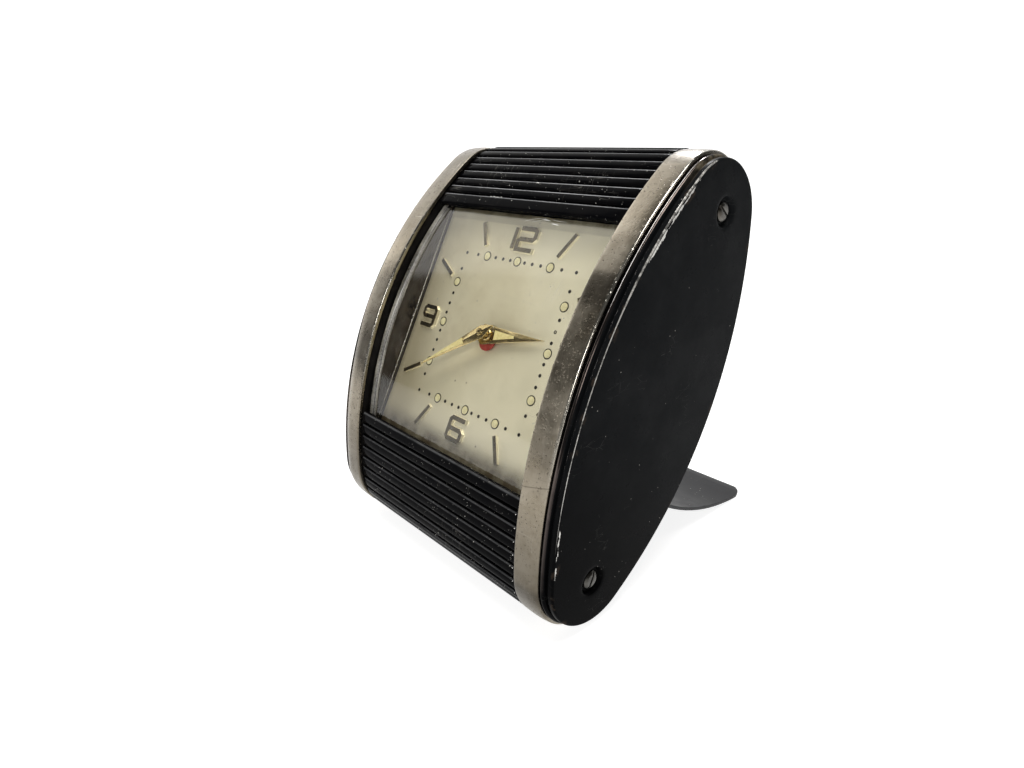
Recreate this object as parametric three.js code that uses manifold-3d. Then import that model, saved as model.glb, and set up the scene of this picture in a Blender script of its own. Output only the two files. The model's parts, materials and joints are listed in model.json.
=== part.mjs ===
// Folding travel alarm clock with two roll-top shutters. Millimetres, +Z up, front towards -Y.
// Most of the case is drawn in its own upright frame: x = width, u = up the dial, w = out of the dial.
// The whole case then leans back on the foot, and the origin is put at the middle of the base.
import * as THREE from 'three';
import { mergeVertices } from 'three/addons/utils/BufferGeometryUtils.js';
import Module from 'manifold-3d';

const wasm = await Module();
wasm.setup();

// ---------------------------------------------------------------- driving dimensions
const LEAN_DEG = 27.1;            // how far the dial leans back on the foot
const HALF_WIDTH = 36.0;          // outer face of a cheek
const BAND_IN = 27.1;             // bright band, inner and outer edge across the width
const BAND_OUT = 32.9;
const CHEEK_IN = 33.2;            // inside of the cheek's stepped rim
const FRONT_W = -76.9;            // centre of the big front arc
const REAR_W = 41.3;              // centre of the big rear arc
const R_BAND = 86.9;              // front radius of the band
const R_SLAT = 84.8;              // underside of the slats on the front arc
const SLAT_T = 1.2;               // slat height, underside to ridge
const SLAT_X = 26.8;              // half the length of a slat
// each shutter: centre of its end turn, lead edge in degrees on the front arc when open, slat pitch along the
// underside, width of the lead bar, slats that pass from the end turn to the front arc, slats that stay on the turn
const UPPER = { end: [36.0, -11.1], edge: 18.3, pitch: 2.41, bar: 3.15, turn: 11, tail: 10 };
const LOWER = { end: [35.5, -10.85], edge: 16.93, pitch: 2.72, bar: 2.66, turn: 9, tail: 9 };
const SLAT_GAP = 0.35;            // between neighbouring slats
const END_BAND = [33.6, -10.95];  // centre of the band's end turn
const END_CHEEK = [33.04, -10.69];
const R_CHEEK = 85.5;             // front radius of the cheek's face edge
const CLOSED_GAP = 0.1;           // degrees left to the middle when shut
const DIAL_U = 1.0;               // the dial's centre above the case's centre
const DIAL_X = 26.6, DIAL_HU = 27.6;
const R_GLASS = 84.3, GLASS_T = 1.0;
const R_DOOR = 74.2, DOOR_T = 0.8; // the foot is a curved door, inner radius about the rear arc's centre
const DOOR_X = 30.4;
const HINGE_U = -20.0;
const HINGE_R = 74.6;
const DOOR_LEN = 47.0;
const BACK_R = 74.1;
const BACK_FLOOR_W = -20.9;
const SCREW = [36.0, -11.1];
const KEY_X = 12.0, KEY_U = -3.0;
const HOUR_DEG = 82.4, MINUTE_DEG = 234.6, ALARM_DEG = 84;

const rad = (d) => (d * Math.PI) / 180;

// ---------------------------------------------------------------- helpers
// a closed outline of [u, w] points pushed along the width from x0 to x1
function slab(pts, x0, x1, holes = [], bevel = null) {
  const shape = new THREE.Shape(pts.map(([u, w]) => new THREE.Vector2(-w, u)));
  for (const h of holes) shape.holes.push(new THREE.Path(h.map(([u, w]) => new THREE.Vector2(-w, u))));
  const opt = bevel
    ? { depth: x1 - x0 - 2 * bevel.t, bevelEnabled: true, bevelThickness: bevel.t, bevelSize: bevel.s, bevelSegments: bevel.n, curveSegments: 1 }
    : { depth: x1 - x0, bevelEnabled: false, curveSegments: 1 };
  const g = new THREE.ExtrudeGeometry(shape, opt);
  if (bevel) g.translate(0, 0, bevel.t);
  g.translate(0, 0, x0);
  const m = new THREE.Matrix4().makeBasis(new THREE.Vector3(0, 1, 0), new THREE.Vector3(0, 0, 1), new THREE.Vector3(1, 0, 0));
  return g.applyMatrix4(m);
}
// a closed outline of [x, u] points in the dial's plane, from depth w0 to w1 (w1 nearer the front)
function plate(pts, w0, w1, holes = []) {
  const shape = new THREE.Shape(pts.map(([x, u]) => new THREE.Vector2(x, u)));
  for (const h of holes) shape.holes.push(new THREE.Path(h.map(([x, u]) => new THREE.Vector2(x, u))));
  const g = new THREE.ExtrudeGeometry(shape, { depth: w1 - w0, bevelEnabled: false, curveSegments: 1 });
  g.translate(0, 0, w0);
  return g.applyMatrix4(new THREE.Matrix4().makeRotationX(Math.PI / 2));
}
const ring = (cx, cy, r, n, a0 = 0) => Array.from({ length: n }, (_, i) => {
  const a = a0 + (2 * Math.PI * i) / n;
  return [cx + r * Math.cos(a), cy + r * Math.sin(a)];
});
const rect = (x0, y0, x1, y1) => [[x0, y0], [x1, y0], [x1, y1], [x0, y1]];
// cylinder along the width
function rodX(r, x0, x1, u, w, n = 24) {
  const g = new THREE.CylinderGeometry(r, r, x1 - x0, n);
  g.rotateZ(Math.PI / 2);
  g.translate((x0 + x1) / 2, -w, u);
  return g;
}
// cylinder along the dial's axis
function rodW(r, w0, w1, x, u, n = 20) {
  const g = new THREE.CylinderGeometry(r, r, w1 - w0, n);
  g.translate(x, -(w0 + w1) / 2, u);
  return g;
}
function box(x0, x1, u0, u1, w0, w1) {
  const g = new THREE.BoxGeometry(x1 - x0, w1 - w0, u1 - u0);
  g.translate((x0 + x1) / 2, -(w0 + w1) / 2, (u0 + u1) / 2);
  return g;
}
function solid(geom) {
  const g = geom.clone();
  g.deleteAttribute('normal');
  if (g.getAttribute('uv')) g.deleteAttribute('uv');
  const m = mergeVertices(g, 1e-4);
  return new wasm.Manifold(new wasm.Mesh({
    numProp: 3,
    vertProperties: new Float32Array(m.getAttribute('position').array),
    triVerts: new Uint32Array(m.index.array),
  }));
}
function geometry(man) {
  const mesh = man.getMesh();
  const g = new THREE.BufferGeometry();
  g.setAttribute('position', new THREE.BufferAttribute(new Float32Array(mesh.vertProperties), 3));
  g.setIndex(new THREE.BufferAttribute(new Uint32Array(mesh.triVerts), 1));
  g.computeVertexNormals();
  return g;
}
const join = (...gs) => gs.slice(1).reduce((a, b) => a.add(b), gs[0]);
const mat = (color, roughness, metalness, extra = {}) => new THREE.MeshStandardMaterial({ color, roughness, metalness, ...extra });

// ---------------------------------------------------------------- case outline
const dist = (u, w, cw) => Math.hypot(u, w - cw);
// outline made of the front arc, two end turns and the rear arc, all tangent; off moves it outwards
function outline(rFront, end, off = 0, nF = 24, nE = 12, nR = 16) {
  const [ue, we] = end;
  const re = rFront - dist(ue, we, FRONT_W) + off;
  const rf = rFront + off;
  const rr = dist(ue, we, REAR_W) + re;
  const pf = Math.atan2(ue, we - FRONT_W);
  const pr = Math.atan2(ue, REAR_W - we);
  const pts = [];
  for (let i = 0; i <= nF; i++) { const p = -pf + (2 * pf * i) / nF; pts.push([rf * Math.sin(p), FRONT_W + rf * Math.cos(p)]); }
  for (let i = 1; i <= nE; i++) { const p = pf + ((Math.PI - pr - pf) * i) / nE; pts.push([ue + re * Math.sin(p), we + re * Math.cos(p)]); }
  for (let i = 1; i <= nR; i++) { const p = pr - (2 * pr * i) / nR; pts.push([rr * Math.sin(p), REAR_W - rr * Math.cos(p)]); }
  for (let i = 1; i < nE; i++) { const p = Math.PI + pr + ((Math.PI - pr - pf) * i) / nE; pts.push([-ue + re * Math.sin(p), we + re * Math.cos(p)]); }
  return pts;
}
// open strip that follows the front arc and both end turns as far as the direction endDeg
function strip(rFront, end, offOut, offIn, endDeg, nF = 26, nE = 10) {
  const [ue, we] = end;
  const pf = Math.atan2(ue, we - FRONT_W);
  const line = (off) => {
    const re = rFront - dist(ue, we, FRONT_W) + off;
    const rf = rFront + off;
    const pts = [];
    for (let i = nE; i > 0; i--) { const p = pf + ((rad(endDeg) - pf) * i) / nE; pts.push([-ue - re * Math.sin(p), we + re * Math.cos(p)]); }
    for (let i = 0; i <= nF; i++) { const p = -pf + (2 * pf * i) / nF; pts.push([rf * Math.sin(p), FRONT_W + rf * Math.cos(p)]); }
    for (let i = 1; i <= nE; i++) { const p = pf + ((rad(endDeg) - pf) * i) / nE; pts.push([ue + re * Math.sin(p), we + re * Math.cos(p)]); }
    return pts;
  };
  const a = line(offOut).map(([u, w]) => [u, w]);
  return [...a, ...line(offIn).reverse()];
}
// end turn points for negative u come from the mirror, so keep the lower turn as an exact mirror image
function arcBand(r0, r1, cw, sign, p0, p1, n) {
  const out = [], inn = [];
  for (let i = 0; i <= n; i++) {
    const p = rad(p0 + ((p1 - p0) * i) / n);
    out.push([r1 * Math.sin(p), cw + sign * r1 * Math.cos(p)]);
    inn.push([r0 * Math.sin(p), cw + sign * r0 * Math.cos(p)]);
  }
  return [...out, ...inn.reverse()];
}

// ---------------------------------------------------------------- assembly groups
const clock = new THREE.Group();
const stand = new THREE.Group();      // carries the lean and the shift to the base
clock.add(stand);
stand.rotation.x = -rad(LEAN_DEG);

const black = () => mat(0x101112, 0.32, 0.2);
const nickel = () => mat(0xaaa48f, 0.34, 0.9);
const brass = () => mat(0xb89a55, 0.35, 0.9);
const gold = () => mat(0xcdb365, 0.3, 0.9);
const steel = () => mat(0x8d8d8b, 0.35, 0.9);
function piece(name, geom, material, parent = stand) {
  const m = new THREE.Mesh(geom, material);
  m.name = name;
  parent.add(m);
  return m;
}

// plane that everything stands on, as a cutter in the case frame
const lean = rad(LEAN_DEG);
const bandEndR = R_BAND - dist(END_BAND[0], END_BAND[1], FRONT_W);
const groundDrop = END_BAND[0] * Math.cos(lean) - END_BAND[1] * Math.sin(lean) + bandEndR;
const FLAT = 0.06;                    // worn flats take this much off the lowest edges
const groundZ = -groundDrop + FLAT;
// the door swings out until its free edge meets that plane
const hingeW = REAR_W - Math.sqrt(HINGE_R * HINGE_R - HINGE_U * HINGE_U);
const doorP0 = -Math.asin(-HINGE_U / HINGE_R);
const doorP1 = doorP0 + DOOR_LEN / HINGE_R;
const doorOpen = (() => {
  const vu = (R_DOOR + DOOR_T) * Math.sin(doorP1) - HINGE_U;
  const vw = REAR_W - (R_DOOR + DOOR_T) * Math.cos(doorP1) - hingeW;
  const drop = (a) => {
    const u = HINGE_U + vu * Math.cos(a) + vw * Math.sin(a);
    const w = hingeW - vu * Math.sin(a) + vw * Math.cos(a);
    return u * Math.cos(lean) + w * Math.sin(lean) - (groundZ - FLAT);
  };
  let a = rad(60), b = rad(120);
  for (let i = 0; i < 60; i++) { const m = (a + b) / 2; if (drop(m) > 0) a = m; else b = m; }
  return (a + b) / 2;
})();
const groundCutter = () => {
  const g = new THREE.BoxGeometry(120, 220, 20);
  g.translate(0, 30, groundZ - 10);
  g.applyMatrix4(new THREE.Matrix4().makeRotationX(lean));
  return solid(g);
};

// ---------------------------------------------------------------- cheeks, bands, side frames
function cheek(side) {
  const rim = solid(slab(outline(R_CHEEK, END_CHEEK, 0.45, 20, 9, 12), CHEEK_IN, 34.7, [], { t: 0.5, s: 0.5, n: 1 }));
  const face = solid(slab(outline(R_CHEEK, END_CHEEK, 0.0, 20, 9, 12), 34.2, HALF_WIDTH, [], { t: 0.45, s: 0.45, n: 1 }));
  let c = rim.add(face);
  for (const s of [1, -1]) {
    c = c.subtract(solid(rodX(2.75, 34.9, 37.0, s * SCREW[0], SCREW[1], 20)));
    c = c.subtract(solid(rodX(1.35, 32.0, 37.0, s * SCREW[0], SCREW[1], 12)));
  }
  const g = geometry(c);
  if (side < 0) mirrorX(g);
  return g;
}
function mirrorX(g) {
  g.scale(-1, 1, 1);
  const idx = g.index.array;
  for (let i = 0; i < idx.length; i += 3) { const t = idx[i]; idx[i] = idx[i + 1]; idx[i + 1] = t; }
  g.computeVertexNormals();
  return g;
}
piece('right_cheek', cheek(1), black());
piece('left_cheek', cheek(-1), black());

function band(side) {
  const b = solid(slab(strip(R_BAND, END_BAND, 0, -0.9, 140), BAND_IN, BAND_OUT)).subtract(groundCutter());
  const g = geometry(b);
  if (side < 0) mirrorX(g);
  return g;
}
piece('right_band', band(1), nickel());
piece('left_band', band(-1), nickel());

function sideFrame(side) {
  const wall = solid(slab(outline(R_BAND, END_BAND, -1.4, 20, 8, 10), 31.5, 32.85));
  const rim = solid(slab(strip(R_BAND, END_BAND, -1.2, -3.0, 138, 20, 8), 27.3, 31.8));
  let f = wall.add(rim);
  for (const s of [1, -1]) {
    // drum that the slats curl round, and the short ledge from it towards the glass
    const end = s > 0 ? UPPER.end : LOWER.end;
    f = f.add(solid(rodX(6.6, 24.9, 31.8, s * end[0], end[1], 24)));
    const a = arcBand(82.1, 83.3, FRONT_W, 1, s > 0 ? 21.4 : -26.6, s > 0 ? 26.6 : -21.4, 4);
    f = f.add(solid(slab(a, 25.2, 31.8)));
  }
  for (const s of [1, -1]) f = f.subtract(solid(rodX(2.95, 20, 34, s * SCREW[0], SCREW[1], 20)));
  const g = geometry(f);
  if (side < 0) mirrorX(g);
  return g;
}
piece('right_side_frame', sideFrame(1), mat(0x17181a, 0.6, 0.2));
piece('left_side_frame', sideFrame(-1), mat(0x17181a, 0.6, 0.2));

// ---------------------------------------------------------------- tie rods and cheek screws
for (const [name, s] of [['upper_tie_rod', 1], ['lower_tie_rod', -1]]) {
  let r = solid(rodX(2.6, -32.85, 32.85, s * SCREW[0], SCREW[1], 20));
  for (const e of [1, -1]) r = r.subtract(solid(rodX(1.35, e > 0 ? 25 : -33, e > 0 ? 33 : -25, s * SCREW[0], SCREW[1], 12)));
  piece(name, geometry(r), steel());
}
function screw() {
  // head towards +X, origin at the head's outer face centre
  const profile = [[0, 0], [1.25, 0], [1.8, -0.35], [1.8, -0.85], [1.0, -0.85], [1.0, -8.0], [0, -8.0]].map(([r, y]) => new THREE.Vector2(r, y));
  const body = new THREE.LatheGeometry(profile.reverse(), 16);
  const slot = new THREE.BoxGeometry(4.2, 0.9, 0.5);
  let s = solid(body).subtract(solid(slot));
  const g = geometry(s);
  g.rotateZ(-Math.PI / 2);
  return g;
}
const turns = { right_upper: 0.5, right_lower: -1.2, left_upper: 0.9, left_lower: 0.2 };
for (const [xs, xn] of [[1, 'right'], [-1, 'left']]) {
  for (const [us, un] of [[1, 'upper'], [-1, 'lower']]) {
    const m = piece(`${xn}_${un}_cheek_screw`, screw(), steel());
    m.position.set(xs * 35.75, -SCREW[1], us * SCREW[0]);
    m.rotation.set(turns[`${xn}_${un}`], 0, xs < 0 ? Math.PI : 0);
  }
}

// ---------------------------------------------------------------- back shell with its recess
const backW = (u, r) => REAR_W - Math.sqrt(r * r - u * u);
{
  const pMax = (Math.asin(36.3 / BACK_R) * 180) / Math.PI;
  const winLo = -20.0, winHi = 26.8, winX = 30.7;
  let shell = solid(slab(arcBand(BACK_R, BACK_R + 0.8, REAR_W, -1, -pMax, pMax, 20), -31.2, 31.2));
  // recess: floor and four walls
  const floorT = 0.8, wallT = 0.7;
  const outerBox = [[winLo - wallT, backW(winLo, BACK_R + 0.3)], [winHi + wallT, backW(winHi, BACK_R + 0.3)], [winHi + wallT, BACK_FLOOR_W], [winLo - wallT, BACK_FLOOR_W]];
  const tub = solid(slab(outerBox, -31.2, 31.2));
  shell = shell.add(tub);
  shell = shell.subtract(solid(slab([[winLo, -60], [winHi, -60], [winHi, BACK_FLOOR_W - floorT], [winLo, BACK_FLOOR_W - floorT]], -winX, winX)));
  // holes for the arbors
  const holes = [[KEY_X, KEY_U, 1.9], [-KEY_X, KEY_U, 1.9], [0, DIAL_U, 1.6], [0, 15, 1.6], [-16, 17, 1.7]];
  for (const [x, u, r] of holes) shell = shell.subtract(solid(rodW(r, -40, -10, x, u, 16)));
  // room for the hinge barrel, then the two outer knuckles
  const hw = backW(HINGE_U, HINGE_R);
  shell = shell.subtract(solid(rodX(1.75, -30.7, 30.7, HINGE_U, hw, 16)));
  for (const s of [1, -1]) {
    const x0 = s > 0 ? 20.4 : -28.6, x1 = s > 0 ? 28.6 : -20.4;
    shell = shell.add(solid(rodX(1.3, x0, x1, HINGE_U, hw, 16)));
    shell = shell.add(solid(box(x0, x1, HINGE_U - 2.0, HINGE_U - 0.9, hw - 0.4, hw + 1.2)));
    shell = shell.subtract(solid(rodX(0.85, s > 0 ? 20 : -27.6, s > 0 ? 27.6 : -20, HINGE_U, hw, 12)));
  }
  piece('case_back', geometry(shell), mat(0x1a1b1d, 0.45, 0.3));
  // pin
  const pin = piece('foot_hinge_pin', geometry(solid(rodX(0.5, -27.2, 27.2, 0, 0, 12))), steel());
  pin.position.set(0, -hw, HINGE_U);
}

// ---------------------------------------------------------------- foot, a curved door that opens into a rest
{
  const hw = backW(HINGE_U, HINGE_R);
  const foot = new THREE.Group();
  foot.position.set(0, -hw, HINGE_U);
  foot.rotation.x = -doorOpen;
  stand.add(foot);
  const p0 = doorP0, p1 = doorP1;
  const deg = (a) => (a * 180) / Math.PI;
  let sheet = solid(slab(arcBand(R_DOOR, R_DOOR + DOOR_T, REAR_W, -1, deg(p0) + 0.75, deg(p1), 16), -DOOR_X, DOOR_X));
  // rounded free corners: cut a square and put a quarter round back
  const R = 4.5;
  const uc = (R_DOOR + DOOR_T) * Math.sin(p1 - R / HINGE_R);
  for (const s of [1, -1]) {
    const corner = plate(rect(s > 0 ? DOOR_X - R : -DOOR_X - 1, uc, s > 0 ? DOOR_X + 1 : -DOOR_X + R, uc + 12), -45, -15);
    const round = plate(ring(s * (DOOR_X - R), uc, R, 32), -45, -15);
    sheet = sheet.subtract(solid(corner).subtract(solid(round)));
  }
  sheet = sheet.add(solid(rodX(1.3, -20.1, 20.1, HINGE_U, hw, 16)));
  sheet = sheet.add(solid(box(-20.1, 20.1, HINGE_U + 0.2, HINGE_U + 1.9, hw - 0.55, hw + 0.25)));
  // free of the outer knuckles
  for (const s of [1, -1]) sheet = sheet.subtract(solid(rodX(1.65, s > 0 ? 20.1 : -30, s > 0 ? 30 : -20.1, HINGE_U, hw, 16)));
  sheet = sheet.subtract(solid(rodX(0.85, -30, 30, HINGE_U, hw, 12)));
  // into the hinge's own frame, then cut the worn flat where it meets the ground
  const g = geometry(sheet);
  g.translate(0, hw, -HINGE_U);
  const toHinge = new THREE.Matrix4().makeRotationX(-doorOpen).setPosition(0, -hw, HINGE_U).invert();
  const cut = new THREE.BoxGeometry(120, 220, 20);
  cut.translate(0, 30, groundZ - 10);
  cut.applyMatrix4(new THREE.Matrix4().makeRotationX(lean));
  cut.applyMatrix4(toHinge);
  piece('foot', geometry(solid(g).subtract(solid(cut))), mat(0x3a3b3d, 0.5, 0.4), foot);
}

// ---------------------------------------------------------------- glass, bezel and dial
piece('crystal', slab(arcBand(R_GLASS - GLASS_T, R_GLASS, FRONT_W, 1, -20.2, 20.2, 24), -26.6, 26.6), mat(0xf4f4ee, 0.05, 0.0, { transparent: true, opacity: 0.3 }));
{
  const r = R_GLASS - GLASS_T - 0.3;
  const p = (Math.asin(28.3 / r) * 180) / Math.PI;
  const top = [];
  for (let i = 0; i <= 20; i++) { const a = rad(-p + (2 * p * i) / 20); top.push([r * Math.sin(a), FRONT_W + r * Math.cos(a)]); }
  let bz = solid(slab([...top, [28.3, 0.35], [-28.3, 0.35]], -26.85, 26.85));
  bz = bz.subtract(solid(box(-26.4, 26.4, -27.7, 27.7, -5, 20)));
  piece('dial_bezel', geometry(bz), mat(0xa9aaa8, 0.25, 0.9));
  piece('dial', plate(rect(-DIAL_X, -DIAL_HU, DIAL_X, DIAL_HU), -0.5, 0.0, [ring(0, DIAL_U, 2.4, 20)]), mat(0xc9bf9b, 0.45, 0.3));
}

// ---------------------------------------------------------------- hands
const dialGroup = new THREE.Group();
dialGroup.position.set(0, 0, DIAL_U);
stand.add(dialGroup);
// outline points are [across, along] with the hand pointing up
function hand(name, pts, w0, w1, deg, material, extra = [], cutR = 0) {
  let s = solid(plate(pts, w0, w1));
  for (const e of extra) s = s.add(e);
  if (cutR) s = s.subtract(solid(rodW(cutR, -60, 20, 0, 0, 16)));
  const m = piece(name, geometry(s), material, dialGroup);
  m.rotation.y = rad(deg);
  return m;
}
hand('alarm_hand', ring(0.95, -0.05, 2.4, 28), 0.45, 0.75, ALARM_DEG, mat(0xa2332b, 0.5, 0.0),
  [solid(plate([[-0.7, 1.75], [0.7, 1.75], [0.0, 6.6]], 0.45, 0.75)), solid(rodW(2.05, -2.3, 0.6, 0, 0, 20))], 1.6);
hand('hour_hand', [[-0.08, 15.8], [-2.0, 0.2], [-2.2, -1.4], [-0.2, -3.4], [0.2, -3.4], [2.2, -1.4], [2.0, 0.2], [0.08, 15.8]], 1.15, 1.5, HOUR_DEG, gold(),
  [solid(rodW(1.3, -2.4, 1.5, 0, 0, 20))], 0.85);
hand('minute_hand', [[-0.08, 18.3], [-1.45, 0.2], [-1.4, -0.4], [-0.2, -3.4], [0.2, -3.4], [1.4, -0.4], [1.45, 0.2], [0.08, 18.3]], 3.2, 3.55, MINUTE_DEG, gold(),
  [solid(rodW(0.55, -3.6, 3.8, 0, 0, 14)), solid(rodW(0.8, 2.9, 3.65, 0, 0, 16))]);

// ---------------------------------------------------------------- movement
const PLATE_F = -2.7, PLATE_B = -18.0;
{
  const out = [[-21, -16], [-17, -19], [17, -19], [21, -16], [21, 17], [17, 20.5], [-17, 20.5], [-21, 17]];
  let f = solid(plate(out, PLATE_F - 0.8, PLATE_F));
  for (const [x, u] of [[-18.5, -16], [18.5, -16], [18.5, 17.5], [-18.5, 17.5]]) f = f.add(solid(rodW(1.4, PLATE_B + 0.3, PLATE_F - 0.4, x, u, 12)));
  f = f.subtract(solid(rodW(2.4, -8, 2, 0, DIAL_U, 20)));
  piece('movement_front_plate', geometry(f), brass());
  let b = solid(plate(out, PLATE_B - 0.8, PLATE_B));
  for (const [x, u, r] of [[KEY_X, KEY_U, 1.6], [-KEY_X, KEY_U, 1.6], [0, DIAL_U, 1.3], [0, 15, 1.3], [-16, 17, 1.4]]) b = b.subtract(solid(rodW(r, -25, -10, x, u, 16)));
  piece('movement_back_plate', geometry(b), brass());
}
// spring drums with their great wheels, round the winding arbors
for (const [name, x, r] of [['time_mainspring_drum', KEY_X, 8.6], ['alarm_mainspring_drum', -KEY_X, 7.6]]) {
  const profile = [[1.7, -15.6], [r, -15.6], [r, -7.4], [r + 1.0, -7.4], [r + 1.0, -6.4], [1.7, -6.4], [1.7, -15.6]].map(([a, b]) => new THREE.Vector2(a, b));
  const g = new THREE.LatheGeometry(profile, 28);
  g.rotateX(Math.PI);
  piece(name, geometry(solid(g)), brass()).position.set(x, 0, KEY_U);
}
// toothed wheel in the dial's plane
function gearOutline(teeth, rOut, rRoot) {
  const pts = [];
  for (let i = 0; i < teeth; i++) {
    const a = (2 * Math.PI * i) / teeth, s = (2 * Math.PI) / teeth;
    pts.push([rRoot * Math.cos(a), rRoot * Math.sin(a)]);
    pts.push([rOut * Math.cos(a + 0.3 * s), rOut * Math.sin(a + 0.3 * s)]);
    pts.push([rOut * Math.cos(a + 0.55 * s), rOut * Math.sin(a + 0.55 * s)]);
  }
  return pts;
}
// centre arbor with its wheel and the set knob behind, in two solids that turn together
{
  const w = solid(plate(gearOutline(30, 8.2, 7.4), -5.3, -4.6)).add(solid(rodW(0.8, -22.5, -3.9, 0, 0, 14)));
  piece('centre_wheel', geometry(w), brass(), dialGroup);
}
function knob(name, x, u, r, w0, w1, wIn, parent = stand, arborR = 0.9) {
  let k = solid(plate(gearOutline(18, r, r - 0.35), w0, w1));
  k = k.add(solid(rodW(arborR, w1 - 0.2, wIn, 0, 0, 14)));
  const m = piece(name, geometry(k), brass(), parent);
  m.position.set(x, 0, u);
  return m;
}
knob('time_set_knob', 0, 0, 3.4, -25.6, -23.4, -22.9, dialGroup, 1.1);
knob('alarm_set_knob', 0, 15, 3.0, -25.2, -23.0, -17.0);
function windKey(name, x) {
  let k = solid(plate([[-6.2, -1.6], [-6.8, 0], [-6.2, 1.6], [-1.4, 0.55], [1.4, 0.55], [6.2, 1.6], [6.8, 0], [6.2, -1.6], [1.4, -0.55], [-1.4, -0.55]], -28.6, -24.4));
  k = k.add(solid(rodW(1.25, -26.0, -5.6, 0, 0, 16)));
  k = k.add(solid(rodW(1.9, -25.4, -23.2, 0, 0, 16)));
  const m = piece(name, geometry(k), brass());
  m.position.set(x, 0, KEY_U);
  m.rotation.y = x > 0 ? 0.5 : -0.35;
}
windKey('time_wind_key', KEY_X);
windKey('alarm_wind_key', -KEY_X);
{
  const k = solid(rodW(2.3, -26.4, -24.4, 0, 0, 18)).add(solid(rodW(1.05, -24.6, -14.5, 0, 0, 14)));
  piece('alarm_shutoff_button', geometry(k), nickel()).position.set(-16, 0, 17);
}
{
  const pts = [];
  for (let i = 0; i < 15; i++) {
    const a = (2 * Math.PI * i) / 15, s = (2 * Math.PI) / 15;
    pts.push([3.0 * Math.cos(a), 3.0 * Math.sin(a)], [4.0 * Math.cos(a + 0.12 * s), 4.0 * Math.sin(a + 0.12 * s)], [3.1 * Math.cos(a + 0.5 * s), 3.1 * Math.sin(a + 0.5 * s)]);
  }
  const e = solid(plate(pts, -8.4, -7.9)).add(solid(rodW(0.6, -17.7, -3.8, 0, 0, 12)));
  piece('escape_wheel', geometry(e), brass()).position.set(8.5, 0, 12.5);
}
{
  const r = solid(plate(ring(0, 0, 5.6, 36), -12.9, -12.0, [ring(0, 0, 4.7, 36).reverse()]));
  const b = r.add(solid(plate(rect(-5.0, -0.5, 5.0, 0.5), -12.7, -12.2))).add(solid(rodW(0.6, -17.7, -3.8, 0, 0, 12)));
  const m = piece('balance_wheel', geometry(b), brass());
  m.position.set(-7.5, 0, 11.5);
  m.rotation.y = 0.7;
}
{
  const h = solid(plate([[-0.6, -0.8], [0.6, -0.8], [0.5, 9.0], [1.6, 9.4], [1.6, 12.0], [-1.4, 12.0], [-1.4, 9.4], [-0.5, 9.0]], -11.2, -9.8)).add(solid(rodW(0.8, -17.7, -3.8, 0, 0, 12)));
  const m = piece('alarm_hammer', geometry(h), steel());
  m.position.set(0.5, 0, -16.0);
  m.rotation.y = -0.12;
}

// ---------------------------------------------------------------- shutters
function shutter(label, sign, S) {
  const [cu, cw] = S.end;
  const pT = Math.atan2(cu, cw - FRONT_W);
  const rEnd = R_SLAT - dist(cu, cw, FRONT_W);
  const hs = S.pitch / 2 - SLAT_GAP / 2;
  const bevel = [[-hs, 0.5], [-hs * 0.72, 1.0], [-hs * 0.28, SLAT_T], [hs * 0.28, SLAT_T], [hs * 0.72, 1.0], [hs, 0.5]];
  // place along the path: s < 0 on the front arc, s > 0 on the end turn
  const along = (s) => {
    if (s >= 0) { const th = pT + s / rEnd; return { u: cu + rEnd * Math.sin(th), w: cw + rEnd * Math.cos(th), th }; }
    const th = pT + s / R_SLAT;
    return { u: R_SLAT * Math.sin(th), w: FRONT_W + R_SLAT * Math.cos(th), th };
  };
  // slats joined at their feet into one outline on a circle, from the slat at s0; the lead bar comes first if asked for
  const joined = (s0, n, ou, ow, r, lead) => {
    const top = [], bot = [];
    const at = (s, h) => { const th = pT + s / r; return [ou + (r + h) * Math.sin(th), ow + (r + h) * Math.cos(th)]; };
    if (lead) {
      const a = s0 - S.pitch / 2 - S.bar;
      bot.push(at(a, 0), at(a + S.bar / 2, 0), at(a + S.bar, 0));
      top.push(at(a, 0.9), at(a + 0.35, 1.15), at(a + S.bar - 0.75, SLAT_T), at(a + S.bar - 0.35, 0.95), at(a + S.bar - 0.1, 0.45));
    }
    for (let k = 0; k < n; k++) {
      const c = s0 + k * S.pitch;
      const f = r / (r + SLAT_T);
      if (!lead || k > 0) bot.push(at(c - S.pitch / 2 + (k === 0 ? 0.15 : 0), 0));
      top.push(at(c - hs, 0.5), at(c - hs * 0.72 * f, 1.0), at(c - hs * 0.28 * f, SLAT_T), at(c + hs * 0.28 * f, SLAT_T), at(c + hs * 0.72 * f, 1.0), at(c + hs, 0.5));
    }
    bot.push(at(s0 + (n - 1) * S.pitch + hs, 0));
    return [...bot, ...top.reverse()];
  };
  const flip = (pts) => (sign > 0 ? pts : pts.map(([u, w]) => [-u, w]).reverse());
  const first = -R_SLAT * (pT - rad(S.edge)) + S.bar + S.pitch / 2;
  let n = 0;
  while (first + n * S.pitch < 0) n++;
  piece(`${label}_shutter_lead`, slab(flip(joined(first, n, 0, FRONT_W, R_SLAT, true)), -SLAT_X, SLAT_X), black());
  const one = [[-hs, 0], [hs, 0], ...bevel.slice().reverse()];
  for (let k = 0; k < S.turn; k++) {
    const p = along(first + (n + k) * S.pitch);
    const m = piece(`${label}_slat_${String(k + 1).padStart(2, '0')}`, slab(flip(one), -SLAT_X, SLAT_X), black());
    m.position.set(0, -p.w, sign * p.u);
    m.rotation.x = -sign * p.th;
  }
  piece(`${label}_shutter_tail`, slab(flip(joined(first + (n + S.turn) * S.pitch, S.tail, cu, cw, rEnd, false)), -SLAT_X, SLAT_X), black());
}
shutter('upper', 1, UPPER);
shutter('lower', -1, LOWER);

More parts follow.
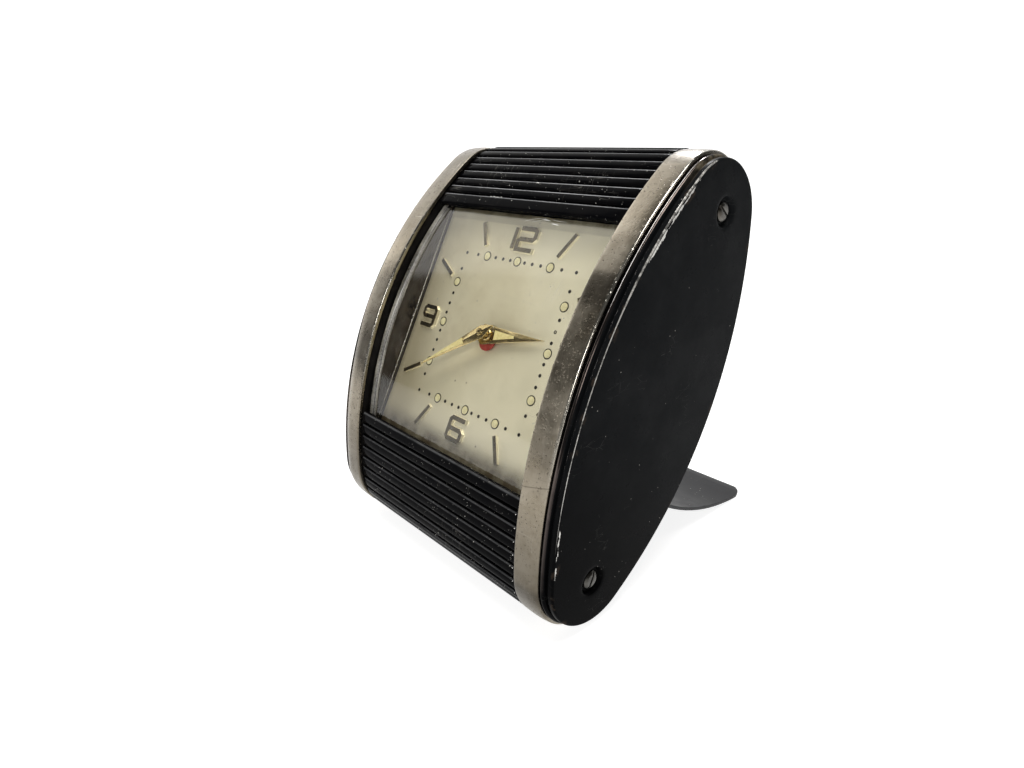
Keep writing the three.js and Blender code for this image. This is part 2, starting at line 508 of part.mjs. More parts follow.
// ---------------------------------------------------------------- origin at the middle of the base
clock.updateMatrixWorld(true);
const bounds = new THREE.Box3().setFromObject(clock, true);
stand.position.set(0, -(bounds.min.y + bounds.max.y) / 2, -bounds.min.z);
clock.updateMatrixWorld(true);

export default clock;
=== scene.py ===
import math
import random

import bmesh
import bpy
from mathutils import Matrix, Vector
from mathutils.geometry import delaunay_2d_cdt
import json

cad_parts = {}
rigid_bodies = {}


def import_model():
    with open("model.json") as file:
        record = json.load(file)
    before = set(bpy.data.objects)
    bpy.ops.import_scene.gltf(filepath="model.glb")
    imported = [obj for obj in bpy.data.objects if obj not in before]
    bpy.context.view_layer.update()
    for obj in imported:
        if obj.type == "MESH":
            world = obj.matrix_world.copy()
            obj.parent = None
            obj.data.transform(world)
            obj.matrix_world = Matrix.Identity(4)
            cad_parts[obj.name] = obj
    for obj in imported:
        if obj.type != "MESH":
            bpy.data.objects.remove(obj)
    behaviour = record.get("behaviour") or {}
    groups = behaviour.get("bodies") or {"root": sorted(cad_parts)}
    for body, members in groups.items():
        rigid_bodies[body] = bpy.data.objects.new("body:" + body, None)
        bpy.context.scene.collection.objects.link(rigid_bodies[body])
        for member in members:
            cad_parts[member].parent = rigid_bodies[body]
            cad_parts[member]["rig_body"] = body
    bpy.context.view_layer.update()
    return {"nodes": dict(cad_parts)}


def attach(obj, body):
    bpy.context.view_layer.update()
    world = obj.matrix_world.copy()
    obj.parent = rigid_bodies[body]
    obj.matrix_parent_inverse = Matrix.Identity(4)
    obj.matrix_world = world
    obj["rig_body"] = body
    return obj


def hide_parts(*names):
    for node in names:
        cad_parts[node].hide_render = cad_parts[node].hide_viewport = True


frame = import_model()
N = frame["nodes"]
RNG = random.Random(7)

# ------------------------------------------------------------------ the case's own frame
# x = width, u = up the dial, w = out of the dial, all in mm; P gives metres in the row frame
TAU = math.radians(27.1)
S, C = math.sin(TAU), math.cos(TAU)
PY, PZ = -21.583576, 47.723409


def P(x, u, w):
    return Vector((x / 1000, (u * S - w * C + PY) / 1000, (u * C + w * S + PZ) / 1000))


FRONT_W, REAR_W = -76.9, 41.3
R_BAND, R_SLAT, SLAT_T, SLAT_X, SLAT_GAP = 86.9, 84.8, 1.2, 26.8, 0.35
END_BAND, END_CHEEK, R_CHEEK = (33.6, -10.95), (33.04, -10.69), 85.5
UPPER = dict(end=(36.0, -11.1), edge=18.3, pitch=2.41, bar=3.15, turn=11, tail=10)
LOWER = dict(end=(35.5, -10.85), edge=16.93, pitch=2.72, bar=2.66, turn=9, tail=9)
DIAL_U = 1.0
rad = math.radians


def dist(u, w, cw):
    return math.hypot(u, w - cw)


def sstep(a, b, x):
    t = min(1, max(0, (x - a) / (b - a)))
    return t * t * (3 - 2 * t)


# ------------------------------------------------------------------ small node language
class Mat:
    def __init__(self, name):
        self.m = bpy.data.materials.new(name)
        self.m.use_nodes = True
        self.nt = self.m.node_tree
        self.nt.nodes.clear()
        self.out = self.nt.nodes.new("ShaderNodeOutputMaterial")
        self.tc = self.nt.nodes.new("ShaderNodeTexCoord")
        self.obj = self.tc.outputs["Object"]

    def n(self, kind, ins=None, **attrs):
        nd = self.nt.nodes.new("ShaderNode" + kind)
        for k, v in attrs.items():
            setattr(nd, k, v)
        for k, v in (ins or {}).items():
            self.put(nd.inputs[k], v)
        return nd

    def put(self, sock, v):
        if isinstance(v, bpy.types.NodeSocket):
            self.nt.links.new(v, sock)
        elif isinstance(v, (tuple, list)) and len(v) == 3 and sock.type == "RGBA":
            sock.default_value = (*v, 1)
        else:
            sock.default_value = v

    def scaled(self, sx, sy, sz, rot=(0, 0, 0)):
        return self.n("Mapping", {"Vector": self.obj, "Scale": (sx, sy, sz), "Rotation": rot}).outputs[0]

    def noise(self, scale, detail=4.0, rough=0.55, vec=None, dist=0.0):
        return self.n("TexNoise", {"Vector": vec or self.obj, "Scale": scale, "Detail": detail, "Roughness": rough, "Distortion": dist}).outputs["Fac"]

    def voronoi(self, scale, vec=None, feature="F1", rand=1.0):
        return self.n("TexVoronoi", {"Vector": vec or self.obj, "Scale": scale, "Randomness": rand}, feature=feature).outputs["Distance"]

    def ramp(self, fac, a, b, lo=0.0, hi=1.0, smooth=True):
        nd = self.n("MapRange", {"Value": fac, "From Min": a, "From Max": b, "To Min": lo, "To Max": hi}, clamp=True)
        if smooth:
            nd.interpolation_type = "SMOOTHSTEP"
        return nd.outputs[0]

    def math(self, op, a, b=0.0):
        nd = self.n("Math", operation=op)
        self.put(nd.inputs[0], a)
        self.put(nd.inputs[1], b)
        return nd.outputs[0]

    def mul(self, a, b):
        return self.math("MULTIPLY", a, b)

    def add(self, a, b):
        return self.math("ADD", a, b)

    def mix(self, fac, a, b):
        nd = self.n("Mix", data_type="RGBA")
        self.put(nd.inputs[0], fac)
        self.put(nd.inputs[6], a)
        self.put(nd.inputs[7], b)
        return nd.outputs[2]

    def mixf(self, fac, a, b):
        nd = self.n("Mix", data_type="FLOAT")
        self.put(nd.inputs[0], fac)
        self.put(nd.inputs[2], a)
        self.put(nd.inputs[3], b)
        return nd.outputs[0]

    def attr(self, name):
        return self.n("Attribute", attribute_name=name).outputs["Fac"]

    def bump(self, height, strength=0.3, dist=0.0001, normal=None):
        nd = self.n("Bump", {"Height": height, "Strength": strength, "Distance": dist})
        if normal is not None:
            self.nt.links.new(normal, nd.inputs["Normal"])
        return nd.outputs[0]

    def principled(self, color, rough, metal=0.0, spec=0.5, normal=None, coat=0.0, coat_rough=0.1, ior=1.5, aniso=0.0, surface=True):
        b = self.n("BsdfPrincipled", {"Base Color": color, "Roughness": rough, "Metallic": metal, "IOR": ior,
                                      "Specular IOR Level": spec, "Coat Weight": coat, "Coat Roughness": coat_rough,
                                      "Anisotropic": aniso})
        if normal is not None:
            self.nt.links.new(normal, b.inputs["Normal"])
        if surface:
            self.nt.links.new(b.outputs[0], self.out.inputs[0])
        return b.outputs[0]


def scratches(m, scale=900.0, lo=0.62, hi=0.72, angle=0.6):
    """Thin straight marks in two directions, 0 to 1."""
    a = m.noise(scale * 0.04, 2.0, 0.5, m.scaled(14, 1, 1, (0.2, 0.1, angle)))
    b = m.noise(scale * 0.03, 2.0, 0.5, m.scaled(1, 1.5, 18, (angle, -0.7, 0.3)))
    la = m.ramp(m.math("ABSOLUTE", m.math("SUBTRACT", a, 0.5)), 0.0, 0.006, 1.0, 0.0)
    lb = m.ramp(m.math("ABSOLUTE", m.math("SUBTRACT", b, 0.5)), 0.0, 0.005, 1.0, 0.0)
    gate = m.ramp(m.noise(scale * 0.08, 3.0), lo, hi)
    return m.mul(m.math("MAXIMUM", la, lb), gate)


def specks(m, scale, size, keep_lo=0.55, keep_hi=0.6):
    """Small round dust grains, 0 to 1."""
    d = m.voronoi(scale)
    dot = m.ramp(d, size * 0.5, size, 1.0, 0.0)
    return m.mul(dot, m.ramp(m.noise(scale * 0.31, 2.0), keep_lo, keep_hi))


def make_lacquer():
    m = Mat("slat_lacquer_look")
    blot = m.noise(160, 5.0, 0.6)
    fine = m.noise(2600, 3.0, 0.6)
    dust = specks(m, 760, 0.13, 0.57, 0.60)
    dust2 = specks(m, 1500, 0.15, 0.52, 0.55)
    sc = scratches(m, 900, 0.56, 0.66)
    base = m.mix(m.ramp(blot, 0.35, 0.7), (0.0017, 0.0018, 0.0024), (0.0040, 0.0038, 0.0040))
    base = m.mix(m.mul(sc, 0.25), base, (0.20, 0.19, 0.17))
    base = m.mix(m.math("MAXIMUM", dust, m.mul(dust2, 0.6)), base, (0.42, 0.41, 0.38))
    rough = m.add(m.ramp(blot, 0.3, 0.75, 0.07, 0.15), m.mul(m.math("MAXIMUM", dust, sc), 0.3))
    nrm = m.bump(m.add(m.mul(fine, 0.25), m.mul(m.noise(420, 2.0), 0.5)), 0.12, 0.00008)
    # painted glints near the slats' ends
    tip = m.ramp(m.add(m.attr("tip"), m.mul(m.noise(900, 2.0), 0.5)), 0.80, 0.95)
    # painted highlight lines along the slats' upper shoulders
    painted_highlight = m.mul(m.attr("line"), m.ramp(m.add(m.mul(m.noise(150, 3.0), 0.6), m.mul(m.noise(700, 3.0), 0.5)), 0.38, 0.62, 0.55, 1.0))
    base = m.mix(painted_highlight, base, (0.34, 0.345, 0.36))
    base = m.mix(tip, base, (0.72, 0.71, 0.68))
    m.principled(base, rough, 0.0, 0.011, nrm)
    return m.m


def make_black_paint():
    m = Mat("black_paint_look")
    blot = m.noise(120, 5.0, 0.6)
    fine = m.noise(1800, 4.0, 0.65)
    wear, line, bead = m.attr("wear"), m.attr("line"), m.attr("bead")
    edge_noise = m.noise(700, 5.0, 0.7)
    big = m.noise(95, 3.0, 0.6)
    mid = m.noise(380, 4.0, 0.65)
    # thin rubbed line along the edge, chips beside it
    rub = m.mul(m.ramp(line, 0.35, 0.75), m.ramp(m.add(m.mul(big, 0.45), m.mul(edge_noise, 0.75)), 0.50, 0.64, 0.22, 1.0))
    chips = m.ramp(m.add(m.mul(wear, 0.42), m.add(m.mul(edge_noise, 0.40), m.mul(mid, 0.55))), 0.93, 0.98)
    bare_fac = m.math("MAXIMUM", rub, m.mul(chips, 0.9))
    sc = m.mul(m.ramp(m.voronoi(240, m.scaled(1, 1, 3.2, (0.6, 0, 0)), "DISTANCE_TO_EDGE"), 0.0, 0.007, 1.0, 0.0),
               m.ramp(m.mul(m.noise(70, 3.0), m.noise(210, 2.0)), 0.335, 0.36))
    dust = specks(m, 900, 0.13, 0.61, 0.64)
    bare = m.mix(edge_noise, (0.40, 0.385, 0.36), (0.86, 0.84, 0.80))
    paint = m.mix(m.ramp(blot, 0.35, 0.7), (0.0048, 0.0054, 0.0062), (0.0092, 0.0098, 0.0106))
    # painted shade: darker towards the lower end of the cheek
    paint = m.mix(m.attr("deep"), paint, (0.0016, 0.0017, 0.0019))
    paint = m.mix(m.mul(sc, 0.35), paint, (0.20, 0.20, 0.19))
    paint = m.mix(dust, paint, (0.30, 0.29, 0.27))
    brown = m.ramp(m.mul(wear, m.ramp(m.noise(300, 4.0), 0.50, 0.68)), 0.15, 0.5)
    paint = m.mix(m.mul(brown, 0.4), paint, (0.050, 0.036, 0.026))
    dirt = m.attr("dirt")
    paint = m.mix(m.mul(dirt, m.ramp(m.add(m.mul(mid, 0.6), m.mul(edge_noise, 0.4)), 0.40, 0.60)), paint, (0.155, 0.130, 0.092))
    rough = m.mixf(bead, m.ramp(m.noise(260, 5.0, 0.6), 0.3, 0.75, 0.26, 0.40), 0.12)
    b_paint = m.principled(paint, m.add(rough, m.mul(m.math("MAXIMUM", dust, dirt), 0.3)), 0.0, 0.012,
                           m.bump(m.add(fine, m.mul(sc, -1.2)), 0.08, 0.00005), surface=False)
    b_bare = m.principled(bare, m.ramp(edge_noise, 0.3, 0.7, 0.16, 0.34), 0.45, 0.5, m.bump(edge_noise, 0.2, 0.00008), surface=False)
    mx = m.n("MixShader")
    m.put(mx.inputs[0], bare_fac)
    m.nt.links.new(b_paint, mx.inputs[1])
    m.nt.links.new(b_bare, mx.inputs[2])
    # the polished side of the bead next to the band, and painted highlight lines on the bead and on the outer step
    shine = m.ramp(m.add(m.attr("shine"), m.mul(m.noise(1100, 3.0), 0.5)), 0.62, 0.86)
    b_pol = m.principled(m.mix(shine, m.mix(m.noise(500, 3.0), (0.075, 0.060, 0.054), (0.125, 0.102, 0.094)), (0.84, 0.81, 0.80)), 0.14, 1.0, 0.5, surface=False)
    mx2 = m.n("MixShader")
    m.put(mx2.inputs[0], m.math("MAXIMUM", shine, m.mul(m.attr("flank"), m.ramp(m.noise(240, 4.0), 0.25, 0.6, 0.55, 0.95))))
    m.nt.links.new(mx.outputs[0], mx2.inputs[1])
    m.nt.links.new(b_pol, mx2.inputs[2])
    m.nt.links.new(mx2.outputs[0], m.out.inputs[0])
    return m.m


def make_nickel():
    m = Mat("nickel_look")
    mott = m.noise(70, 6.0, 0.62, dist=0.4)
    mid = m.noise(330, 6.0, 0.7)
    cloud = m.noise(28, 3.0, 0.5)
    fine = m.noise(1500, 4.0, 0.7)
    rub = m.noise(420, 3.0, 0.6, m.scaled(0.25, 1.4, 1.4))
    pits = specks(m, 950, 0.19, 0.47, 0.53)
    pits2 = specks(m, 1750, 0.27, 0.40, 0.46)
    pit = m.math("MAXIMUM", pits, m.mul(pits2, 0.75))
    sc = scratches(m, 900, 0.50, 0.60, 1.2)
    wear, shade = m.attr("wear"), m.attr("shade")
    tone = m.mix(m.ramp(mott, 0.33, 0.68), (0.335, 0.294, 0.232), (0.535, 0.482, 0.392))
    tone = m.mix(m.ramp(mid, 0.42, 0.70, 0.0, 0.50), tone, (0.235, 0.197, 0.140))
    tone = m.mix(m.ramp(cloud, 0.45, 0.68, 0.0, 0.35), tone, (0.30, 0.255, 0.180))
    # tarnish and painted reflection, taken from the band's per-angle table
    tone = m.mix(m.ramp(shade, 0.0, 1.0, smooth=False), (0.010, 0.0075, 0.0045), tone)
    above = m.ramp(m.attr("seam"), 0.0, 4.0, 0.25, 1.0)
    tone = m.mix(m.mul(m.mul(pit, above), 0.85), tone, (0.045, 0.035, 0.025))
    tone = m.mix(m.mul(m.mul(sc, above), 0.45), tone, (0.10, 0.082, 0.055))
    bright = m.mul(m.mul(scratches(m, 1300, 0.47, 0.57, 0.2), m.ramp(shade, 0.45, 0.8, 1.0, 0.0)), above)
    tone = m.mix(m.mul(bright, 0.5), tone, (0.55, 0.52, 0.46))
    seam = m.ramp(m.math("ABSOLUTE", m.add(m.attr("seam"), m.mul(m.math("SUBTRACT", m.noise(120, 3.0), 0.5), 0.5))), 0.05, 0.16, 1.0, 0.0)
    tone = m.mix(m.mul(seam, 0.5), tone, (0.06, 0.05, 0.035))
    # brighter along the band edges from the band's wear values: rubbed edges with painted highlight lines
    tone = m.mix(m.mul(wear, 0.55), tone, (0.66, 0.64, 0.59))
    rough = m.add(m.ramp(mott, 0.3, 0.7, 0.17, 0.33), m.add(m.mul(rub, 0.10), m.mul(pit, 0.3)))
    rough = m.mixf(m.mul(wear, 0.8), rough, 0.14)
    nrm = m.bump(m.add(m.mul(pit, -1.0), m.add(m.mul(m.mul(fine, above), 0.50), m.add(m.mul(m.mul(mid, above), 0.5), m.mul(rub, 0.25)))), 0.40, 0.00010)
    m.principled(tone, rough, 1.0, 0.5, nrm)
    return m.m


def make_metal(name, lo, hi, r0, r1, scale=600.0, stretch=(1, 1, 1), bump=0.15, tarnish=None):
    m = Mat(name)
    a = m.noise(scale, 4.0, 0.6, m.scaled(*stretch))
    b = m.noise(scale * 0.2, 4.0, 0.6)
    col = m.mix(m.ramp(b, 0.3, 0.7), lo, hi)
    if tarnish:
        col = m.mix(m.ramp(m.noise(scale * 0.12, 5.0, 0.65), 0.52, 0.72, 0.0, 0.7), col, tarnish)
    rough = m.add(m.ramp(a, 0.25, 0.75, r0, r1), m.mul(b, 0.06))
    m.principled(col, rough, 1.0, 0.5, m.bump(a, bump, 0.00005))
    return m.m


def make_satin(name, lo, hi, r0, r1, spec=0.35, scale=300.0, bump=0.12, dust=0.5, metal=0.0):
    m = Mat(name)
    a = m.noise(scale, 5.0, 0.6)
    f = m.noise(scale * 7, 3.0, 0.6)
    d = m.mul(specks(m, scale * 3.2, 0.15, 0.58, 0.62), dust)
    sc = m.mul(scratches(m, 800, 0.54, 0.66), dust)
    col = m.mix(m.ramp(a, 0.3, 0.7), lo, hi)
    col = m.mix(m.math("MAXIMUM", d, m.mul(sc, 0.5)), col, (0.40, 0.39, 0.36))
    m.principled(col, m.add(m.ramp(a, 0.3, 0.7, r0, r1), m.mul(d, 0.2)), metal, spec, m.bump(f, bump, 0.00005))
    return m.m


def make_glass():
    m = Mat("crystal_look")
    smear = m.noise(90, 4.0, 0.6)
    sc = scratches(m, 700, 0.55, 0.68, 0.4)
    dust = specks(m, 700, 0.12, 0.60, 0.64)
    tr = m.n("BsdfTransparent", {"Color": (0.965, 0.962, 0.945, 1)})
    gl = m.n("BsdfGlossy", {"Color": (1, 1, 1, 1), "Roughness": m.ramp(smear, 0.3, 0.7, 0.03, 0.10)})
    m.nt.links.new(m.bump(m.add(m.mul(sc, 1.0), m.mul(m.noise(60, 2.0), 0.2)), 0.1, 0.00005), gl.inputs["Normal"])
    df = m.n("BsdfDiffuse", {"Color": (0.75, 0.74, 0.70, 1)})
    fac = m.n("LayerWeight", {"Blend": 0.5}).outputs["Facing"]
    m1 = m.n("MixShader")
    m.put(m1.inputs[0], m.add(m.mul(m.math("POWER", fac, 4.0), 0.55), 0.035))
    m.nt.links.new(tr.outputs[0], m1.inputs[1])
    m.nt.links.new(gl.outputs[0], m1.inputs[2])
    m2 = m.n("MixShader")
    m.put(m2.inputs[0], m.add(m.mul(sc, 0.22), m.add(m.mul(dust, 0.4), m.ramp(smear, 0.45, 0.8, 0.0, 0.02))))
    m.nt.links.new(m1.outputs[0], m2.inputs[1])
    m.nt.links.new(df.outputs[0], m2.inputs[2])
    m.nt.links.new(m2.outputs[0], m.out.inputs[0])
    return m.m


def make_glass_inside():
    m = Mat("crystal_inside_look")
    dust = specks(m, 500, 0.10, 0.62, 0.66)
    haze = m.noise(110, 4.0, 0.6)
    tr = m.n("BsdfTransparent", {"Color": (0.985, 0.983, 0.975, 1)})
    df = m.n("BsdfDiffuse", {"Color": (0.7, 0.69, 0.65, 1)})
    mx = m.n("MixShader")
    m.put(mx.inputs[0], m.add(m.mul(dust, 0.35), m.ramp(haze, 0.5, 0.8, 0.0, 0.02)))
    m.nt.links.new(tr.outputs[0], mx.inputs[1])
    m.nt.links.new(df.outputs[0], mx.inputs[2])
    m.nt.links.new(mx.outputs[0], m.out.inputs[0])
    return m.m


def make_glass_edge():
    m = Mat("crystal_edge_look")
    # whitish striations stand in for light caught inside the crystal's cut edge: painted reflection
    st = m.noise(700, 3.0, 0.6, m.scaled(9, 0.12, 0.12))
    st2 = m.noise(2400, 2.0, 0.6)
    col = m.mix(m.ramp(st, 0.35, 0.65), (0.26, 0.26, 0.26), (0.82, 0.81, 0.80))
    p = m.principled(col, m.ramp(st2, 0.3, 0.7, 0.18, 0.38), 0.25, 0.6, m.bump(m.add(st, m.mul(st2, 0.4)), 0.6, 0.00012), surface=False)
    tr = m.n("BsdfTransparent", {"Color": (0.9, 0.9, 0.9, 1)})
    mx = m.n("MixShader")
    m.put(mx.inputs[0], m.ramp(st, 0.3, 0.7, 0.35, 0.10))
    m.nt.links.new(p, mx.inputs[1])
    m.nt.links.new(tr.outputs[0], mx.inputs[2])
    m.nt.links.new(mx.outputs[0], m.out.inputs[0])
    return m.m


def make_dial():
    m = Mat("dial_face_look")
    cloud = m.noise(38, 3.0, 0.5)
    mott = m.noise(160, 5.0, 0.6)
    grain = m.noise(4200, 3.0, 0.6)
    spots = specks(m, 330, 0.10, 0.62, 0.65)
    rim = m.attr("rim")
    painted_light = m.attr("tone")
    col = m.mix(m.ramp(cloud, 0.35, 0.68), (0.71, 0.655, 0.465), (0.86, 0.805, 0.61))
    col = m.mix(m.ramp(mott, 0.45, 0.75, 0.0, 0.35), col, (0.50, 0.43, 0.28))
    # painted shade, darker towards the left and the bottom
    col = m.mix(m.mul(m.attr("low"), 0.85), col, (0.45, 0.40, 0.265))
    # painted light, lighter towards the right
    col = m.mix(painted_light, col, (0.95, 0.905, 0.70))
    # darker borders: painted shadow strip under the upper shutter, painted shade at the top and sides, tarnish with
    # painted shade along the bottom
    col = m.mix(m.mul(rim, m.ramp(m.noise(220, 4.0), 0.25, 0.7, 0.6, 1.0)), col, (0.13, 0.105, 0.065))
    col = m.mix(m.mul(spots, 0.6), col, (0.16, 0.12, 0.07))
    rough = m.add(m.ramp(mott, 0.3, 0.7, 0.36, 0.48), m.mul(rim, 0.1))
    m.principled(col, rough, 0.45, 0.4, m.bump(grain, 0.12, 0.00004))
    return m.m


def make_flat(name, lo, hi, r=0.5, spec=0.3, scale=900.0):
    m = Mat(name)
    a = m.noise(scale, 4.0, 0.6)
    col = m.mix(m.ramp(a, 0.3, 0.7), lo, hi)
    m.principled(col, m.ramp(a, 0.3, 0.7, r - 0.06, r + 0.06), 0.0, spec, m.bump(m.noise(scale * 3, 3.0), 0.15, 0.00004))
    return m.m


def make_floor():
    m = Mat("floor_look")
    a = m.noise(6, 3.0)
    col = m.mix(a, (0.42, 0.42, 0.42), (0.45, 0.45, 0.45))
    p = m.principled(col, 0.9, 0.0, 0.05, surface=False)
    e = m.n("Emission", {"Color": (1, 1, 1, 1), "Strength": 0.87})
    ad = m.n("AddShader")
    m.nt.links.new(p, ad.inputs[0])
    m.nt.links.new(e.outputs[0], ad.inputs[1])
    m.nt.links.new(ad.outputs[0], m.out.inputs[0])
    return m.m


LACQUER = make_lacquer()
PAINT = make_black_paint()
NICKEL = make_nickel()
GLASS, GLASS_EDGE, GLASS_IN = make_glass(), make_glass_edge(), make_glass_inside()
DIAL = make_dial()
SILVER = make_metal("bezel_silver_look", (0.050, 0.044, 0.043), (0.100, 0.090, 0.088), 0.10, 0.22, 900, (0.3, 2.4, 0.3), 0.10)
# brighter copy of the surround's metal for its lower lip: painted highlight
HIGHLIGHT_LIP = make_metal("painted_highlight_lip_look", (0.34, 0.33, 0.32), (0.56, 0.55, 0.54), 0.10, 0.25, 900, (1, 1, 1), 0.1)
# numeral metal in two copies: a dark one on the tops (painted dark reflection) and a bright one on the flanks (painted
# highlight)
APPLIED = make_metal("applied_numeral_look", (0.20, 0.165, 0.095), (0.30, 0.255, 0.165), 0.22, 0.34, 1400, (1, 1, 1), 0.06, (0.10, 0.08, 0.045))
FLANK_HIGHLIGHT = make_metal("numeral_flank_painted_highlight_look", (0.80, 0.75, 0.58), (0.92, 0.88, 0.74), 0.30, 0.42, 1400, (1, 1, 1), 0.05)
GILT = make_metal("gilt_look", (0.46, 0.36, 0.17), (0.60, 0.49, 0.26), 0.12, 0.24, 900, (1, 1, 1), 0.06, (0.20, 0.145, 0.07))
BRASS = make_metal("brass_look", (0.52, 0.40, 0.17), (0.72, 0.58, 0.28), 0.24, 0.42, 500, (1, 1, 1), 0.15, (0.28, 0.2, 0.09))
STEEL = make_metal("steel_look", (0.30, 0.29, 0.275), (0.50, 0.49, 0.47), 0.26, 0.42, 800, (1, 1, 1), 0.2, (0.12, 0.09, 0.07))
FOOTP = make_satin("foot_paint_look", (0.015, 0.015, 0.0165), (0.027, 0.027, 0.029), 0.34, 0.46, 0.09, 240, 0.12, 0.6)
BACKP = make_satin("back_paint_look", (0.014, 0.0145, 0.016), (0.026, 0.026, 0.028), 0.34, 0.48, 0.35, 260, 0.14, 0.7)
FRAMEP = make_satin("dark_frame_look", (0.004, 0.0037, 0.0035), (0.009, 0.008, 0.0075), 0.45, 0.6, 0.08, 300, 0.15, 0.2)
SCREWS_M = make_metal("screw_look", (0.045, 0.043, 0.039), (0.125, 0.12, 0.11), 0.22, 0.36, 1200, (1, 1, 1), 0.25, (0.05, 0.04, 0.03))
CREAM = make_flat("cream_lume_look", (0.66, 0.56, 0.24), (0.80, 0.71, 0.36), 0.5, 0.3, 1500)
PRINT = make_flat("print_black_look", (0.012, 0.010, 0.008), (0.03, 0.026, 0.02), 0.45, 0.3, 2500)
RED = make_flat("alarm_red_look", (0.26, 0.022, 0.014), (0.38, 0.05, 0.035), 0.42, 0.4, 700)
CLOTH = make_flat("shutter_cloth_look", (0.006, 0.006, 0.006), (0.012, 0.011, 0.011), 0.8, 0.1, 2500)
DOTP = make_flat("hour_dot_look", (0.62, 0.57, 0.33), (0.74, 0.69, 0.43), 0.4, 0.4, 1500)
# bright marks: crystal scratches and a dust speck, and painted glints and highlights on the slats
SCRATCH_AND_GLINT = make_flat("scratch_and_glint_look", (0.74, 0.73, 0.70), (0.95, 0.94, 0.91), 0.5, 0.3, 2600)


# ------------------------------------------------------------------ mesh helpers
def new_object(name, me, mats, body, replaces=(), sharp=32, recalc=True):
    if recalc:
        bm = bmesh.new()
        bm.from_mesh(me)
        bmesh.ops.recalc_face_normals(bm, faces=bm.faces)
        bm.to_mesh(me)
        bm.free()
    for mt in mats:
        me.materials.append(mt)
    me.shade_smooth()
    me.set_sharp_from_angle(angle=rad(sharp))
    o = bpy.data.objects.new(name, me)
    bpy.context.scene.collection.objects.link(o)
    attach(o, body)
    if replaces:
        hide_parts(*replaces)
    return o


class Builder:
    """Collects several closed shells, their materials and a few vertex values into one mesh."""

    def __init__(self):
        self.v, self.f, self.mi, self.at = [], [], [], {}

    def add(self, pts, faces, mi=0, **attrs):
        b = len(self.v)
        self.v.extend(pts)
        for k in attrs:
            self.at.setdefault(k, [0.0] * b)
        for k, lst in self.at.items():
            vals = attrs.get(k)
            lst.extend(vals if vals is not None else [0.0] * len(pts))
        for i, f in enumerate(faces):
            self.f.append([b + k for k in f])
            self.mi.append(mi[i] if isinstance(mi, list) else mi)

    def loft(self, rings, closed_path=False, cap=True, mi=0, mi_fn=None, **attrs):
        n, k = len(rings), len(rings[0])
        pts = [p for r in rings for p in r]
        faces, mis = [], []
        last = n if closed_path else n - 1
        for i in range(last):
            for j in range(k):
                a, b = i * k + j, i * k + (j + 1) % k
                c, d = ((i + 1) % n) * k + (j + 1) % k, ((i + 1) % n) * k + j
                faces.append([a, b, c, d])
                mis.append(mi_fn(i, j) if mi_fn else mi)
        if cap and not closed_path:
            faces.append(list(range(k))[::-1])
            faces.append([(n - 1) * k + j for j in range(k)])
            mis += [mi_fn(-1, 0) if mi_fn else mi] * 2
        self.add(pts, faces, mis, **attrs)

    def mesh(self, name):
        me = bpy.data.meshes.new(name)
        me.from_pydata([tuple(p) for p in self.v], [], self.f)
        for k, lst in self.at.items():
            at = me.attributes.new(k, "FLOAT", "POINT")
            at.data.foreach_set("value", lst)
        me.polygons.foreach_set("material_index", self.mi)
        me.update()
        return me


def body_of(node):
    return N[node]["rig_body"]


def refine(node, mat, bevel=0.10, seg=2, sharp=40, weld=True):
    """A finer copy of a CAD node: welded, its flat faces merged, its edges rounded. It rides on the same body in the node's place."""
    me = N[node].data.copy()
    me.materials.clear()
    bm = bmesh.new()
    bm.from_mesh(me)
    bmesh.ops.remove_doubles(bm, verts=bm.verts, dist=2e-6)
    bmesh.ops.dissolve_limit(bm, angle_limit=rad(0.6), verts=bm.verts, edges=bm.edges)
    bmesh.ops.recalc_face_normals(bm, faces=bm.faces)
    if bevel:
        es = [e for e in bm.edges if len(e.link_faces) == 2 and e.calc_face_angle(0) > rad(sharp - 8)]
        bmesh.ops.bevel(bm, geom=es, offset=bevel / 1000, offset_type="OFFSET", segments=seg, profile=0.5, affect="EDGES", clamp_overlap=True)
    for f in bm.faces:
        f.material_index = 0
    bm.to_mesh(me)
    bm.free()
    return new_object("fine_" + node, me, [mat], body_of(node), (node,), sharp, recalc=False)


# ------------------------------------------------------------------ paths round the case
def stations(rF, end, n_front, n_end, end_deg=None, n_rear=0):
    """Points of the case outline as functions of the outward offset; each is (fn, outline angle in degrees)."""
    ue, we = end
    re0 = rF - dist(ue, we, FRONT_W)
    pf = math.atan2(ue, we - FRONT_W)
    st = []
    if end_deg is None:
        pr = math.atan2(ue, REAR_W - we)
        stop = math.pi - pr
    else:
        stop = rad(end_deg)

    def arc(cu, cw, r, p, sg=1.0):
        return lambda off: (sg * (cu + (r + off) * math.sin(p)), cw + (r + off) * math.cos(p))

    if end_deg is not None:
        for i in range(n_end, 0, -1):
            p = pf + (stop - pf) * i / n_end
            st.append((arc(ue, we, re0, p, -1.0), -math.degrees(p)))
    for i in range(n_front + 1):
        p = -pf + 2 * pf * i / n_front
        st.append((arc(0, FRONT_W, rF, p), math.degrees(p)))
    for i in range(1, n_end + 1):
        p = pf + (stop - pf) * i / n_end
        st.append((arc(ue, we, re0, p), math.degrees(p)))
    if end_deg is None:
        rr = dist(ue, we, REAR_W) + re0
        for i in range(1, n_rear + 1):
            p = pr - 2 * pr * i / n_rear
            st.append(((lambda p: (lambda off: ((rr + off) * math.sin(p), REAR_W - (rr + off) * math.cos(p))))(p), 180 - math.degrees(p)))
        for i in range(n_end - 1, 0, -1):
            p = pf + (stop - pf) * i / n_end
            st.append((arc(ue, we, re0, p, -1.0), -math.degrees(p)))
    return st
